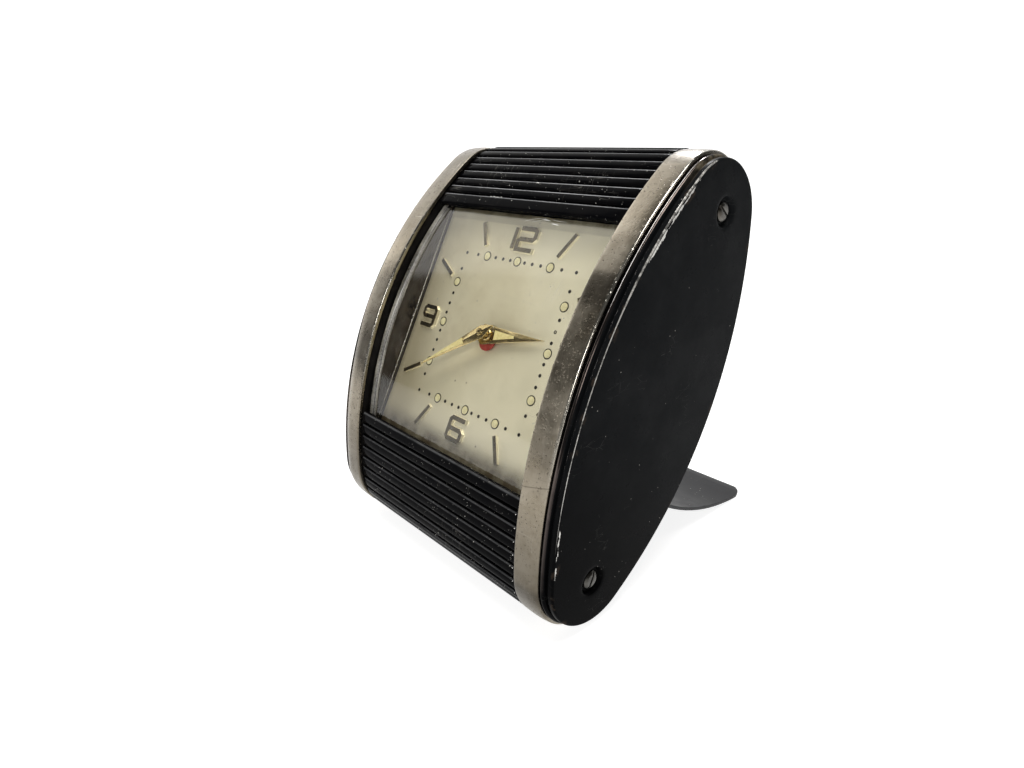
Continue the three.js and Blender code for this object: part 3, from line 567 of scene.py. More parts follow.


# ------------------------------------------------------------------ bright bands
# tarnish along each band, with painted reflection of light and dark surroundings mixed in: (outline angle, how much of
# the bright tone is left)
TARNISH_AND_PAINTED_REFLECTION_R = [(-140, .7), (-90, .7), (-60, .38), (-36, .14), (-32.6, .17), (-28.4, .27), (-24.2, .376), (-21.8, .44), (-20, .51), (-18.3, .60), (-16.5, .68),
           (-14.8, .68), (-13, .66), (-11.6, .64), (-9.5, .66), (-8.5, .95), (-6, 1.0), (-3.5, 1.0), (-2.5, .72), (0, .76), (2.1, .78), (4, .95), (6, .66),
           (7.7, .24), (9.2, .18), (10.6, .20), (11.4, .64), (13.4, .68), (15, .76), (16.8, 1.0), (18.5, 1.0), (21, .86), (24, .76), (27, .62), (30, .44),
           (36, .36), (42, .28), (60, .30), (90, .6), (140, .7)]
TARNISH_AND_PAINTED_REFLECTION_L = [(-140, .7), (-90, .7), (-60, .35), (-32, .30), (-25.8, .28), (-23, .37), (-20.2, .46), (-17.4, .60), (-15.1, .69), (-12.8, .72), (-10.6, .58),
           (-9.6, .53), (-8.9, .31), (-6.1, .50), (-3.9, .69), (-1.6, .90), (.5, .80), (2.6, .64), (4.7, .70), (6.8, .95), (8.9, 1.0), (10.9, .74), (12.9, .60),
           (15, .56), (17.4, .50), (20.2, .44), (23, .40), (28, .32), (40, .36), (60, .5), (90, .7), (140, .7)]


def table(tb, x):
    for (a, va), (c, vc) in zip(tb, tb[1:]):
        if x <= c:
            return va + (vc - va) * max(0.0, x - a) / (c - a)
    return tb[-1][1]


def band(side):
    x0, x1, t, r = 27.1, 32.9, 0.9, 0.28
    sec = []
    for a in (180, 202, 225, 247, 270):   # lower inner edge is left square-ish and hidden
        pass
    nx = 14
    sec += [(x0, -t), (x0, -r)]
    for k in range(1, 5):
        a = rad(180 - 90 * k / 4)
        sec.append((x0 + r + r * math.cos(a), -r + r * math.sin(a)))
    for k in range(1, nx):
        sec.append((x0 + r + (x1 - x0 - 2 * r) * k / nx, 0.0))
    for k in range(4, 0, -1):
        a = rad(90 * k / 4)
        sec.append((x1 - r + r * math.cos(a), -r + r * math.sin(a)))
    sec += [(x1, -r), (x1, -t)]
    rings, wear, shade, seam = [], [], [], []
    for fn, phi in stations(R_BAND, END_BAND, 110, 40, 140):
        # per-angle tone of the band: tarnish and painted reflection
        sh = table(TARNISH_AND_PAINTED_REFLECTION_R if side > 0 else TARNISH_AND_PAINTED_REFLECTION_L, phi)
        drop = 0.10 + 0.38 * sstep(4, -14, phi) * sstep(-95, -40, phi)
        ring = []
        for x, off in sec:
            k = max(0.0, (x - (x0 + x1) / 2) / ((x1 - x0) / 2))
            kk = abs(x - (x0 + x1) / 2) / ((x1 - x0) / 2)
            o = off - (drop * k ** 2.2 + 0.05 * kk ** 3) * (1.0 if off > -0.5 else 0.0)
            u, w = fn(o)
            p = P(side * x, u, w)
            p.z = max(p.z, 0.0)
            ring.append(p)
            # edge values stored as wear: rubbed edges with painted highlight lines, a wide one on each band's +x edge
            # and a thin one on the other, their strength set by angle
            e = min(abs(x - x0), abs(x - x1))
            outer = abs(x - x1) < abs(x - x0)
            edge_highlight = sstep(-16, -4, phi) * (1 - (0.5 * sstep(40, 60, phi) if side > 0 else 0.92 * sstep(9, 20, phi))) if outer == (side > 0) else 0.35 * sstep(-30, 0, phi) + 0.15
            wear.append(edge_highlight if (e < (0.30 if outer == (side > 0) else 0.12) and off > -0.5) else 0.0)
            shade.append(sh)
            seam.append(math.radians(phi + 15.0 - 1.0 * (x - x0) / (x1 - x0)) * R_BAND if side > 0 else 6.0)
        rings.append(ring)
    b = Builder()
    b.loft(rings, wear=wear, shade=shade, seam=seam)
    name = "right_band" if side > 0 else "left_band"
    new_object("fine_" + name, b.mesh(name), [NICKEL], "case", (name,), 40)


band(1)
band(-1)

# ------------------------------------------------------------------ side cheeks
SCREWS = [(36.0, -11.1), (-36.0, -11.1)]


def dimple(u, w):
    """Depth of the pressed dimples round the screws at a place on the cheek's face."""
    d = 0.0
    for cu, cw in SCREWS:
        r = math.hypot(u - cu, w - cw)
        if r < 3.6:
            d = max(d, 1.1 * (1 - sstep(2.15, 3.0, r)) + 0.10 * (1 - sstep(2.7, 3.6, r)))
    return min(d, 1.1)


def cheek(side):
    prof = [(-1.6, 33.2, 0), (0.30, 33.2, 0)]
    for k in range(0, 15):
        a = rad(-90 + 180 * k / 14)
        prof.append((0.40 + 0.55 * math.cos(a), 33.78 + 0.55 * math.sin(a), 0.0))
    prof += [(0.18, 34.37, 0), (0.02, 34.44, 0), (-0.02, 34.56, 0), (0.14, 34.68, 0), (0.34, 34.76, 0), (0.43, 34.90, 0.1), (0.45, 35.15, 0.15), (0.45, 35.40, 0.55)]
    for k in range(1, 9):
        a = rad(90 * k / 8)
        prof.append((0.45 * math.cos(a), 35.55 + 0.45 * math.sin(a), 0.8 if k < 7 else 0.6))
    st = stations(R_CHEEK, END_CHEEK, 110, 44, None, 90)
    if side < 0:
        prof = [(off - 1.0 * sstep(33.4, 34.7, x), x, wv) for off, x, wv in prof]
    low = 1.0 if side < 0 else 0.0
    rings, wear, line, bead, shine, dirt, flank, deep = [], [], [], [], [], [], [], []
    last = len(prof) - 1
    for fn, phi in st:
        rings.append([P(side * x, *fn(off)) for off, x, _ in prof])
        wear += [wv for _, _, wv in prof]
        front = sstep(-34, -14, phi) * (1 - sstep(40, 58, phi)) * (0.55 + 0.45 * sstep(-20, 10, phi))
        line += [front if i in (last - 3, last - 4) else 0.85 * front * sstep(2, 12, phi) if i in (last - 2, last - 5) else 0.0 for i in range(len(prof))]
        # painted shade on the rim, darker towards the lower front
        deep += [sstep(-2, -30, phi) * sstep(-120, -80, phi)] * len(prof)
        bead += [1.0 if 2 <= i <= 16 else 0.0 for i in range(len(prof))]
        # painted highlight lines: a double line on the bead (profile points 7 and 8) and one on the outer step (point
        # 22), their strength set by angle
        painted_highlight = sstep(2, 12, phi) * (1 - sstep(30, 44, phi))
        lip = 0.62 * sstep(-26, -10, phi) * (1 - sstep(14, 26, phi))
        shine += [(0.9 * painted_highlight if i in (7, 8) else lip if i == 22 else 0.0) for i in range(len(prof))]
        fl = sstep(-34, -8, phi) * (1 - sstep(40, 60, phi))
        flank += [fl * (1.0 if 3 <= i <= 10 else 0.5 if i in (11, 12) else 0.0) for i in range(len(prof))]
        dk = sstep(22, 34, phi) * (1 - sstep(88, 120, phi))
        dirt += [dk * (1.0 if 8 <= i <= 22 else 0.5 if i < 8 else 0.0) for i in range(len(prof))]
    b = Builder()
    b.loft(rings, closed_path=True, wear=wear, line=line, bead=bead, shine=shine, dirt=dirt, flank=flank, deep=deep)
    # inner cover
    b.add([P(side * 33.2, *fn(-1.6)) for fn, _ in st], [list(range(len(st)))], 0, wear=[0.0] * len(st))
    # outer face with the two dimples
    pts, edges = [], []
    for fn, _ in st:
        pts.append(Vector(fn(-low)))
    n = len(pts)
    edges = [(i, (i + 1) % n) for i in range(n)]
    for off in (-0.25, -0.55, -1.0, -1.8):
        pts += [Vector(fn(off - low)) for i, (fn, _) in enumerate(st) if i % (1 if off > -0.4 else 2) == 0]
    for cu, cw in SCREWS:
        for r in (0.0, 0.7, 1.4, 1.9, 2.15, 2.25, 2.35, 2.45, 2.55, 2.65, 2.75, 2.85, 2.95, 3.05, 3.2, 3.4, 3.6):
            m = 1 if r == 0 else 56
            pts += [Vector((cu + r * math.cos(2 * math.pi * (i + 0.5 * (round(r * 20) % 2)) / m), cw + r * math.sin(2 * math.pi * (i + 0.5 * (round(r * 20) % 2)) / m))) for i in range(m)]
    inside = [Vector(fn(-2.4 - low)) for fn, _ in st]

    def within(u, w):
        c = False
        for i in range(len(inside)):
            a, d = inside[i], inside[i - 1]
            if (a.x > u) != (d.x > u) and w < (d.y - a.y) * (u - a.x) / (d.x - a.x) + a.y:
                c = not c
        return c

    uu = -44.0
    while uu < 44:
        ww = -34.0
        while ww < 12:
            if within(uu, ww) and all(math.hypot(uu - cu, ww - cw) > 3.9 for cu, cw in SCREWS):
                pts.append(Vector((uu + 0.01 * RNG.random(), ww)))
            ww += 1.6
        uu += 1.6
    vo, eo, fo, *_ = delaunay_2d_cdt(pts, edges, [], 1, 1e-4)
    ring0 = [Vector(fn(-low)) for fn, _ in st]
    wv, painted_shade_face = [], []
    for p in vo:
        low_end = sstep(-30, -12, p.x)
        dmin = min((p - q).length for q in ring0)
        dd = dimple(p.x, p.y)
        top_end = sstep(14, 26, p.x) * sstep(-24, -12, p.y + 0.25 * (36 - p.x)) * (1 - 0.75 * sstep(34, 38.5, p.x))
        foot_end = sstep(-39, -35, p.x) * (1 - sstep(-29, -23, p.x)) * sstep(-12, -6, p.y)
        # painted shade on the face, darker towards the bottom
        painted_shade_face.append(1.0 - sstep(-37, -2, p.x))
        wv.append(max((0.35 + 0.35 * low_end + 0.95 * top_end + 1.0 * foot_end) * max(0.0, 1 - dmin / 1.6) ** 1.2, 0.25 * (1 if 0.05 < dd < 0.5 else 0)))
    b.add([P(side * (36.0 - dimple(p.x, p.y)), p.x, p.y) for p in vo], [list(f) for f in fo], 0, wear=wv, deep=painted_shade_face)
    name = "right_cheek" if side > 0 else "left_cheek"
    me = b.mesh(name)
    bm = bmesh.new()
    bm.from_mesh(me)
    bmesh.ops.remove_doubles(bm, verts=bm.verts, dist=5e-6)
    bm.to_mesh(me)
    bm.free()
    new_object("fine_" + name, me, [PAINT], "case", (name,), 50)


cheek(1)
cheek(-1)
for nm, turn in (("right_upper_cheek_screw", -39), ("right_lower_cheek_screw", -19), ("left_upper_cheek_screw", 24), ("left_lower_cheek_screw", -50)):
    o = refine(nm, SCREWS_M, 0.07, 2)
    cu, cw = SCREWS[0] if "upper" in nm else SCREWS[1]
    c = P(0, cu, cw)
    o.data.transform(Matrix.Translation(c) @ Matrix.Rotation(rad(turn), 4, "X") @ Matrix.Translation(-c))


# ------------------------------------------------------------------ shutters
def slat_top(hs):
    """Half outline (s, h) of a slat from one foot over the ridge to the other, with small rounded shoulders."""
    base = [(-hs, 0.06), (-hs, 0.60), (-hs * 0.90, 0.97), (-hs * 0.58, 1.14), (0.0, 1.20), (hs * 0.58, 1.14), (hs * 0.90, 0.97), (hs, 0.60), (hs, 0.06)]
    pts = base
    for _ in range(3):
        q = [pts[0]]
        for i in range(len(pts) - 1):
            (a, b), (c, d) = pts[i], pts[i + 1]
            k = 0.25
            q += [(a + (c - a) * k, b + (d - b) * k), (a + (c - a) * (1 - k), b + (d - b) * (1 - k))]
        q.append(pts[-1])
        pts = q
    return pts


def sections():
    """Places along a slat and how far its ends are rounded there."""
    r = 0.5
    xs = [(-SLAT_X + r - r * math.cos(rad(90 * k / 5)), 1 - math.sin(rad(90 * k / 5))) for k in range(0, 6)]
    mid = [(-SLAT_X + r + (2 * SLAT_X - 2 * r) * k / 10, 0.0) for k in range(1, 10)]
    return xs + mid + [(-x, e) for x, e in reversed(xs)]


def shell(b, top, bot, at, sign, mi=0, glint=None, painted_highlight=None):
    """Closed bar with the outline top + bot (in s, h), pushed along the width, its ends rounded down."""
    rings, tips, lines = [], [], []
    for x, e in sections():
        ring = []
        for s, h in top + bot:
            hh = h if h < 0.1 else 0.1 + (h - 0.1) * (1 - 0.36 * e)
            u, w = at(s, hh)
            ring.append(P(x, sign * u, w))
            # painted highlight line along one shoulder of the slat
            lines.append(painted_highlight[2] * sstep(painted_highlight[0] - 0.09, painted_highlight[0], s) * (1 - sstep(painted_highlight[1], painted_highlight[1] + 0.09, s)) if painted_highlight and h > 0.5 else 0.0)
            tips.append(1.0 if (glint is not None and 26.40 < x < 26.55 and abs(s - glint) < 0.11 and h > 0.7) else 0.0)
        rings.append(ring)
    b.loft(rings, mi=mi, tip=tips, line=lines)


def sliver(b, pts, half, mi):
    """A thin raised mark on the front arc: pts are (x, angle, radius), pointed at both ends."""
    rings = []
    for i, (x, p, r) in enumerate(pts):
        h = half * (0.25 if i in (0, len(pts) - 1) else 1.0)
        rings.append([P(x, (r + dr) * math.sin(rad(p) + dp / r), FRONT_W + (r + dr) * math.cos(rad(p) + dp / r))
                      for dp, dr in ((-h, -0.05), (-h * 0.6, 0.02), (h * 0.6, 0.02), (h, -0.05))])
    b.loft(rings, mi=mi)


def glint_at(b, at, sign, x, s, h, half, mi):
    """A small bright fleck on a slat, near its end: a painted glint."""
    rings = []
    for x1, k in ((x - half, 0.4), (x, 1.0), (x + half, 0.4)):
        rings.append([P(x1, sign * at(s + ds * half * k, h + dh)[0], at(s + ds * half * k, h + dh)[1])
                      for ds, dh in ((-1.0, -0.05), (-0.6, 0.02), (0.6, 0.02), (1.0, -0.05))])
    b.loft(rings, mi=mi)


def shutter(label, sign, Sh):
    cu, cw = Sh["end"]
    pT = math.atan2(cu, cw - FRONT_W)
    rEnd = R_SLAT - dist(cu, cw, FRONT_W)
    hs = Sh["pitch"] / 2 - SLAT_GAP / 2
    pitch = Sh["pitch"]

    def along(s):
        if s >= 0:
            th = pT + s / rEnd
            return cu + rEnd * math.sin(th), cw + rEnd * math.cos(th), th
        th = pT + s / R_SLAT
        return R_SLAT * math.sin(th), FRONT_W + R_SLAT * math.cos(th), th

    def polar(ou, ow, r):
        return lambda s, h: (ou + (r + h) * math.sin(pT + s / r), ow + (r + h) * math.cos(pT + s / r))

    first = -R_SLAT * (pT - rad(Sh["edge"])) + Sh["bar"] + pitch / 2
    n = 0
    while first + n * pitch < 0:
        n += 1
    # lead: bar, front slats and the cloth under them
    b = Builder()
    at = polar(0, FRONT_W, R_SLAT)
    a0 = first - pitch / 2 - Sh["bar"]
    bar = Sh["bar"] - 0.12
    tb = [(a0, 0.06), (a0, 0.62), (a0 + 0.10, 0.98), (a0 + 0.34, 1.13), (a0 + bar * 0.5, SLAT_T), (a0 + bar - 0.62, 1.19), (a0 + bar - 0.28, 1.02), (a0 + bar, 0.5), (a0 + bar, 0.06)]
    for _ in range(2):
        q = [tb[0]]
        for i in range(len(tb) - 1):
            (x0, y0), (x1, y1) = tb[i], tb[i + 1]
            q += [(x0 * 0.75 + x1 * 0.25, y0 * 0.75 + y1 * 0.25), (x0 * 0.25 + x1 * 0.75, y0 * 0.25 + y1 * 0.75)]
        tb = q + [tb[-1]]
    shell(b, tb, [(a0 + bar, 0.01), (a0, 0.01)], at, sign, painted_highlight=(a0 + bar - 0.55, a0 + bar - 0.22, 0.8) if sign > 0 else (a0 + 0.10, a0 + 0.30, 0.22))
    prof = slat_top(hs)

    # where each slat's painted highlight line lies: the upper shoulder, strong on the upper shutter, faint on the lower
    def painted_highlight(c):
        return (c + 0.60 * hs, c + 0.88 * hs, 1.0) if sign > 0 else (c - 0.86 * hs, c - 0.70 * hs, 0.16)

    for k in range(n):
        c = first + k * pitch
        shell(b, [(c + s, h) for s, h in prof], [(c + hs, 0.01), (c - hs, 0.01)], at, sign, painted_highlight=painted_highlight(c))
        # a painted glint near each slat's right end
        glint_at(b, at, sign, 25.86 + 0.05 * math.sin(7.0 * k), *((c - 0.62 * hs, 1.125, 0.11) if sign < 0 else (c + 0.50 * hs, 1.15, 0.05 + 0.04 * (k % 2))), 2)
    # cloth under the lead, one closed strip
    s1 = first + (n - 1) * pitch + pitch / 2 - 0.02
    m = 40
    cloth = [(a0 + 0.1 + (s1 - a0 - 0.1) * i / m, 0.14) for i in range(m + 1)] + [(a0 + 0.1 + (s1 - a0 - 0.1) * i / m, 0.0) for i in range(m, -1, -1)]
    b.loft([[P(x, sign * at(s, h)[0], at(s, h)[1]) for s, h in cloth] for x in (-26.3, 26.3)], mi=1)
    if sign > 0:
        # four bright dashes on the lead bar's upper shoulder are a painted rough highlight; the mark higher on the
        # slats is a dust speck
        for xa, xb, p in ((-10.9, -10.2, 20.10), (-9.9, -9.3, 20.16), (-9.0, -7.9, 20.08), (-7.6, -7.2, 20.14)):
            sliver(b, [(xa + (xb - xa) * k / 4, p + 0.03 * (k % 2), R_SLAT + 1.10) for k in range(5)], 0.06, 2)
        sliver(b, [(-0.35, 23.22, R_SLAT + 1.13), (-0.1, 23.30, R_SLAT + 1.12), (0.2, 23.26, R_SLAT + 1.12), (0.5, 23.20, R_SLAT + 1.13)], 0.13, 2)
    nm = f"{label}_shutter_lead"
    new_object("fine_" + nm, b.mesh(nm), [LACQUER, CLOTH, SCRATCH_AND_GLINT], nm, (nm,), 40)
    # single slats
    for k in range(Sh["turn"]):
        u0, w0, th = along(first + (n + k) * pitch)
        at1 = (lambda u0, w0, th: (lambda s, h: (u0 + s * math.cos(th) + h * math.sin(th), w0 - s * math.sin(th) + h * math.cos(th))))(u0, w0, th)
        b = Builder()
        shell(b, prof, [(hs, 0.01), (-hs, 0.01)], at1, sign, painted_highlight=painted_highlight(0))
        glint_at(b, at1, sign, 25.86 + 0.05 * math.cos(5.0 * k), *((-0.62 * hs, 1.125, 0.10) if sign < 0 else (0.50 * hs, 1.15, 0.05)), 2)
        hp = pitch / 2 - 0.02
        cl = [(-hp, 0.0), (hp, 0.0), (hp, 0.14), (-hp, 0.14)]
        b.loft([[P(x, sign * at1(s, h)[0], at1(s, h)[1]) for s, h in cl] for x in (-26.3, 26.3)], mi=1)
        nm = f"{label}_slat_{k + 1:02d}"
        new_object("fine_" + nm, b.mesh(nm), [LACQUER, CLOTH, SCRATCH_AND_GLINT], body_of(nm), (nm,), 40)
    # tail on the end turn
    b = Builder()
    at = polar(cu, cw, rEnd)
    s0 = first + (n + Sh["turn"]) * pitch
    f = rEnd / (rEnd + SLAT_T)
    for k in range(Sh["tail"]):
        c = s0 + k * pitch
        shell(b, [(c + s * (1 - (1 - f) * h / SLAT_T), h) for s, h in prof], [(c + hs, 0.01), (c - hs, 0.01)], at, sign, painted_highlight=painted_highlight(c))
    s2 = s0 + (Sh["tail"] - 1) * pitch + hs
    m = 60
    sa = s0 - pitch / 2 + 0.02
    cloth = [(sa + (s2 - sa) * i / m, 0.14) for i in range(m + 1)] + [(sa + (s2 - sa) * i / m, 0.0) for i in range(m, -1, -1)]
    b.loft([[P(x, sign * at(s, h)[0], at(s, h)[1]) for s, h in cloth] for x in (-26.3, 26.3)], mi=1)
    nm = f"{label}_shutter_tail"
    new_object("fine_" + nm, b.mesh(nm), [LACQUER, CLOTH], body_of(nm), (nm,), 40)


shutter("upper", 1, UPPER)
shutter("lower", -1, LOWER)


# ------------------------------------------------------------------ crystal
def crystal():
    r1, r0, pm, xm, ch = 84.3, 83.3, 20.2, 26.6, 0.14
    n = 90
    rings = []
    for i in range(-1, n + 2):
        k = min(max(i, 0), n)
        p = rad(-pm + 2 * pm * k / n)
        inset = ch if i in (-1, n + 1) else 0.0
        if i == 0 or i == n:
            p = rad(-pm + 2 * pm * k / n) + (ch / r1) * (1 if i == 0 else -1)
        ro, ri = r1 - inset, r0 + inset
        sec = [(-xm, ri + ch), (-xm, ro - ch), (-xm + ch, ro), (xm - ch, ro), (xm, ro - ch), (xm, ri + ch), (xm - ch, ri), (-xm + ch, ri)]
        if inset:
            sec = [(max(-xm + ch, min(xm - ch, x)), r) for x, r in sec]
        rings.append([P(x, r * math.sin(p), FRONT_W + r * math.cos(p)) for x, r in sec])
    b = Builder()
    b.loft(rings, mi_fn=lambda i, j: 1 if (i < 1 or i > n or j in (0, 1, 3, 4, 5, 7)) else (2 if j == 6 else 0))
    # fine moulded ribs along the inside of both long edges, in the edge finish with its painted reflection
    for sg in (-1, 1):
        for xa, ra, t in ((26.30, 83.24, 0.10), (26.02, 83.24, 0.10), (25.74, 83.24, 0.08)):
            b.loft([[P(sg * (xa + dx), (ra + dr) * math.sin(rad(p)), FRONT_W + (ra + dr) * math.cos(rad(p)))
                     for dx, dr in ((-t, 0.0), (-t * 0.6, -0.22), (t * 0.6, -0.22), (t, 0.0))] for p in [-18.6 + 37.2 * k / 60 for k in range(61)]], mi=1)
    # worn scratches near the upper edge
    for pth, hw in (([(6.1, 17.98), (6.9, 18.04), (7.7, 17.92), (8.5, 17.86)], 0.15), ([(9.3, 17.40), (10.2, 17.43), (11.2, 17.34)], 0.14),
                    ([(1.9, 17.35), (2.8, 17.62), (3.7, 17.83), (4.8, 17.98), (6.0, 18.06)], 0.022), ([(8.7, 18.10), (9.9, 17.98), (11.1, 17.92), (12.7, 17.95)], 0.025),
                    ([(6.6, 17.72), (7.3, 17.86), (8.2, 17.80)], 0.03), ([(3.9, 17.25), (5.2, 17.62), (6.4, 17.80)], 0.016)):
        sliver(b, [(x, q, r1) for x, q in pth], hw, 3)
    new_object("fine_crystal", b.mesh("crystal"), [GLASS, GLASS_EDGE, GLASS_IN, SCRATCH_AND_GLINT], "case", ("crystal",), 20)


crystal()
refine("dial_bezel", SILVER, 0.06, 2)


# ------------------------------------------------------------------ dial
def D(x, y, w):
    """A place on the dial: x across, y up from the hands' axis, w above the plate."""
    return P(x, y + DIAL_U, w)


def sweep(b, path, ht, hb, h, mi, taper_ends=True):
    """Raised bar with sloping flanks along a path on the dial."""
    n = len(path)
    rings = []
    for i, (x, y) in enumerate(path):
        dirs = []
        if i > 0:
            dirs.append((x - path[i - 1][0], y - path[i - 1][1]))
        if i < n - 1:
            dirs.append((path[i + 1][0] - x, path[i + 1][1] - y))
        nrm = []
        for dx, dy in dirs:
            L = math.hypot(dx, dy)
            nrm.append((-dy / L, dx / L))
        nx, ny = sum(a for a, _ in nrm), sum(c for _, c in nrm)
        L = math.hypot(nx, ny)
        nx, ny = nx / L, ny / L
        k = 1 / max(0.5, nx * nrm[0][0] + ny * nrm[0][1])
        tx, ty = (0.0, 0.0)
        if i in (0, n - 1):
            dx, dy = dirs[0]
            L = math.hypot(dx, dy)
            sg = -1 if i == 0 else 1
            tx, ty = sg * dx / L * (hb - ht), sg * dy / L * (hb - ht)
        r = 0.05
        rings.append([
            D(x + nx * hb * k + tx, y + ny * hb * k + ty, -0.02),
            D(x + nx * (ht + r) * k, y + ny * (ht + r) * k, h - r),
            D(x + nx * ht * k, y + ny * ht * k, h),
            D(x - nx * ht * k, y - ny * ht * k, h),
            D(x - nx * (ht + r) * k, y - ny * (ht + r) * k, h - r),
            D(x - nx * hb * k + tx, y - ny * hb * k + ty, -0.02),
        ])
    # flanks take slot 5, the bright copy of the numeral metal (painted highlight); the top takes the darker copy in
    # slot mi
    b.loft(rings, mi_fn=lambda i, j: 5 if (j in (0, 4) or i < 0) else mi)


def disc(b, x, y, r, w0, w1, mi, n=28, dome=0.0):
    rings = [[D(x + rr * math.cos(2 * math.pi * k / n), y + rr * math.sin(2 * math.pi * k / n), ww) for k in range(n)]
             for rr, ww in ((r, w0), (r, w1 - 0.02), (r - 0.03, w1), (r * 0.6, w1 + dome * 0.6), (r * 0.2, w1 + dome))]
    b.loft(rings, mi=mi)


def ring_mark(b, x, y, r0, r1, w, mi, n=32):
    rings = []
    for k in range(n):
        a = 2 * math.pi * k / n
        c, s = math.cos(a), math.sin(a)
        rings.append([D(x + r0 * c, y + r0 * s, -0.01), D(x + r0 * c, y + r0 * s, w), D(x + r1 * c, y + r1 * s, w), D(x + r1 * c, y + r1 * s, -0.01)])
    b.loft(rings, closed_path=True, mi=mi)


def dial():
    b = Builder()
    nx, ny = 60, 62
    X, U = 26.6, 27.6
    extra_rows = [25.05, 25.15, 25.25, 25.35, 25.45, 26.3, 26.7, 27.1]
    # plate front as a fine grid with the arbor's hole, then its sides and back
    pts = [Vector(p) for p in ((-X, -U), (X, -U), (X, U), (-X, U))]
    edges = [(0, 1), (1, 2), (2, 3), (3, 0)]
    hole = [Vector((2.4 * math.cos(2 * math.pi * k / 40), DIAL_U + 2.4 * math.sin(2 * math.pi * k / 40))) for k in range(40)]
    h0 = len(pts)
    pts += hole
    edges += [(h0 + k, h0 + (k + 1) % 40) for k in range(40)]
    for i in range(nx + 1):
        for j in range(ny + 1):
            x, u = -X + 2 * X * i / nx, -U + 2 * U * j / ny
            if (i in (0, nx) and j in (0, ny)) or math.hypot(x, u - DIAL_U) < 2.7:
                continue
            pts.append(Vector((x, u)))
    for u in extra_rows:
        pts += [Vector((-X + 2 * X * (i + 0.5) / nx, u)) for i in range(nx)]
    vo, eo, fo, *_ = delaunay_2d_cdt(pts, edges, [], 1, 1e-5)
    fo = [f for f in fo if math.hypot(sum(vo[k].x for k in f) / 3, sum(vo[k].y for k in f) / 3 - DIAL_U) > 2.38]
    rim, tone, low = [], [], []
    for p in vo:
        # darker to the left and bottom (painted shade), darker borders (painted shadow of the upper shutter, painted
        # shade and tarnish), lighter towards the right (painted light)
        low.append(max(0.9 * (1 - sstep(-25.5, -14, p.x + 0.25 * p.y)), 0.5 * (1 - sstep(-22, -13, p.y + 0.15 * p.x))))
        rim.append(max(0.27 * (1 - sstep(2.25, 2.45, U - p.y)), 1.0 * (1 - sstep(0.3, 1.5, U - p.y)), 1.15 * (1 - sstep(2.6, 7.2, U + p.y)), 0.35 * (1 - sstep(0.2, 1.6, X - abs(p.x)))))
        tone.append(max(0.6 * sstep(-10, 18, p.x - p.y * 0.9), 0.75 * sstep(-2, 16, p.x + 0.4 * p.y - 3)))
    b.add([P(p.x, p.y, 0.0) for p in vo], [list(f) for f in fo], 0, rim=rim, tone=tone, low=low)
    outer = [(-X, -U), (X, -U), (X, U), (-X, U)]
    b.add([P(x, u, 0.0) for x, u in outer] + [P(x, u, -0.5) for x, u in outer],
          [[0, 1, 5, 4], [1, 2, 6, 5], [2, 3, 7, 6], [3, 0, 4, 7], [7, 6, 5, 4]], 0)
    b.add([P(p.x, p.y, 0.0) for p in hole] + [P(p.x, p.y, -0.5) for p in hole],
          [[k, (k + 1) % 40, 40 + (k + 1) % 40, 40 + k] for k in range(40)], 0)
    # ring of marks, 7.5 degrees apart on a square
    for k in range(48):
        a = rad(7.5 * k)
        c, s = math.cos(a), math.sin(a)
        q = 16.5 / max(abs(c), abs(s))
        x, y = q * s, q * c
        if k % 4 == 0:
            ring_mark(b, x, y, 0.85, 1.08, 0.05, 3)
            disc(b, x, y, 0.86, -0.01, 0.12, 4, dome=0.10)
        elif k != 10:
            disc(b, x, y, 0.37, -0.01, 0.05, 3, 18)
        else:
            ring_mark(b, x, y, 0.17, 0.36, 0.05, 3, 20)
    ht, hb, h = 0.43, 0.60, 0.60
    c = 0.50
    # bright metal lip low on the surround's side walls as a painted highlight of the wall's lower edge, and a
    # near-black strip below it as painted shadow in the gap above the dial
    for sg in (-1, 1):
        b.loft([[P(sg * x, u, w) for x, w in ((26.39, 0.84), (26.39, 1.06), (26.32, 1.02), (26.30, 0.95), (26.32, 0.88))] for u in (-27.5, -14, 0, 14, 27.5)], mi=6)
        b.loft([[P(sg * x, u, w) for x, w in ((26.39, 0.02), (26.39, 0.62), (26.33, 0.62), (26.33, 0.02))] for u in (-27.5, 0, 27.5)], mi=3)
    # 12
    sweep(b, [(-2.65, 23.55), (-2.65, 18.95)], ht, hb, h, 1)
    sweep(b, [(-1.35, 23.55), (3.2 - c, 23.55), (3.2, 23.55 - c), (3.2, 21.25 + c), (3.2 - c, 21.25), (-1.35 + c, 21.25), (-1.35, 21.25 - c), (-1.35, 18.98), (3.3, 18.98)], ht, hb, h, 1)
    # 6
    sweep(b, [(1.9, -18.75), (-2.55 + c, -18.75), (-2.55, -18.75 - c), (-2.55, -23.2 + c), (-2.55 + c, -23.2), (1.65 - c, -23.2), (1.65, -23.2 + c), (1.65, -21.0 - c), (1.65 - c, -21.0), (-2.4, -21.0)], ht, hb, h, 1)
    # 9 and 3
    sweep(b, [(-23.55, -1.9), (-19.4 - c, -1.9), (-19.4, -1.9 + c), (-19.4, 2.35 - c), (-19.4 - c, 2.35), (-23.5 + c, 2.35), (-23.5, 2.35 - c), (-23.5, 0.2 + c), (-23.5 + c, 0.2), (-19.5, 0.2)], ht, hb, h, 1)
    sweep(b, [(19.2, 2.35), (23.4 - c, 2.35), (23.4, 2.35 - c), (23.4, -1.9 + c), (23.4 - c, -1.9), (19.2, -1.9)], ht, hb, h, 1)
    sweep(b, [(20.2, 0.2), (23.3, 0.2)], ht, hb, h, 1)
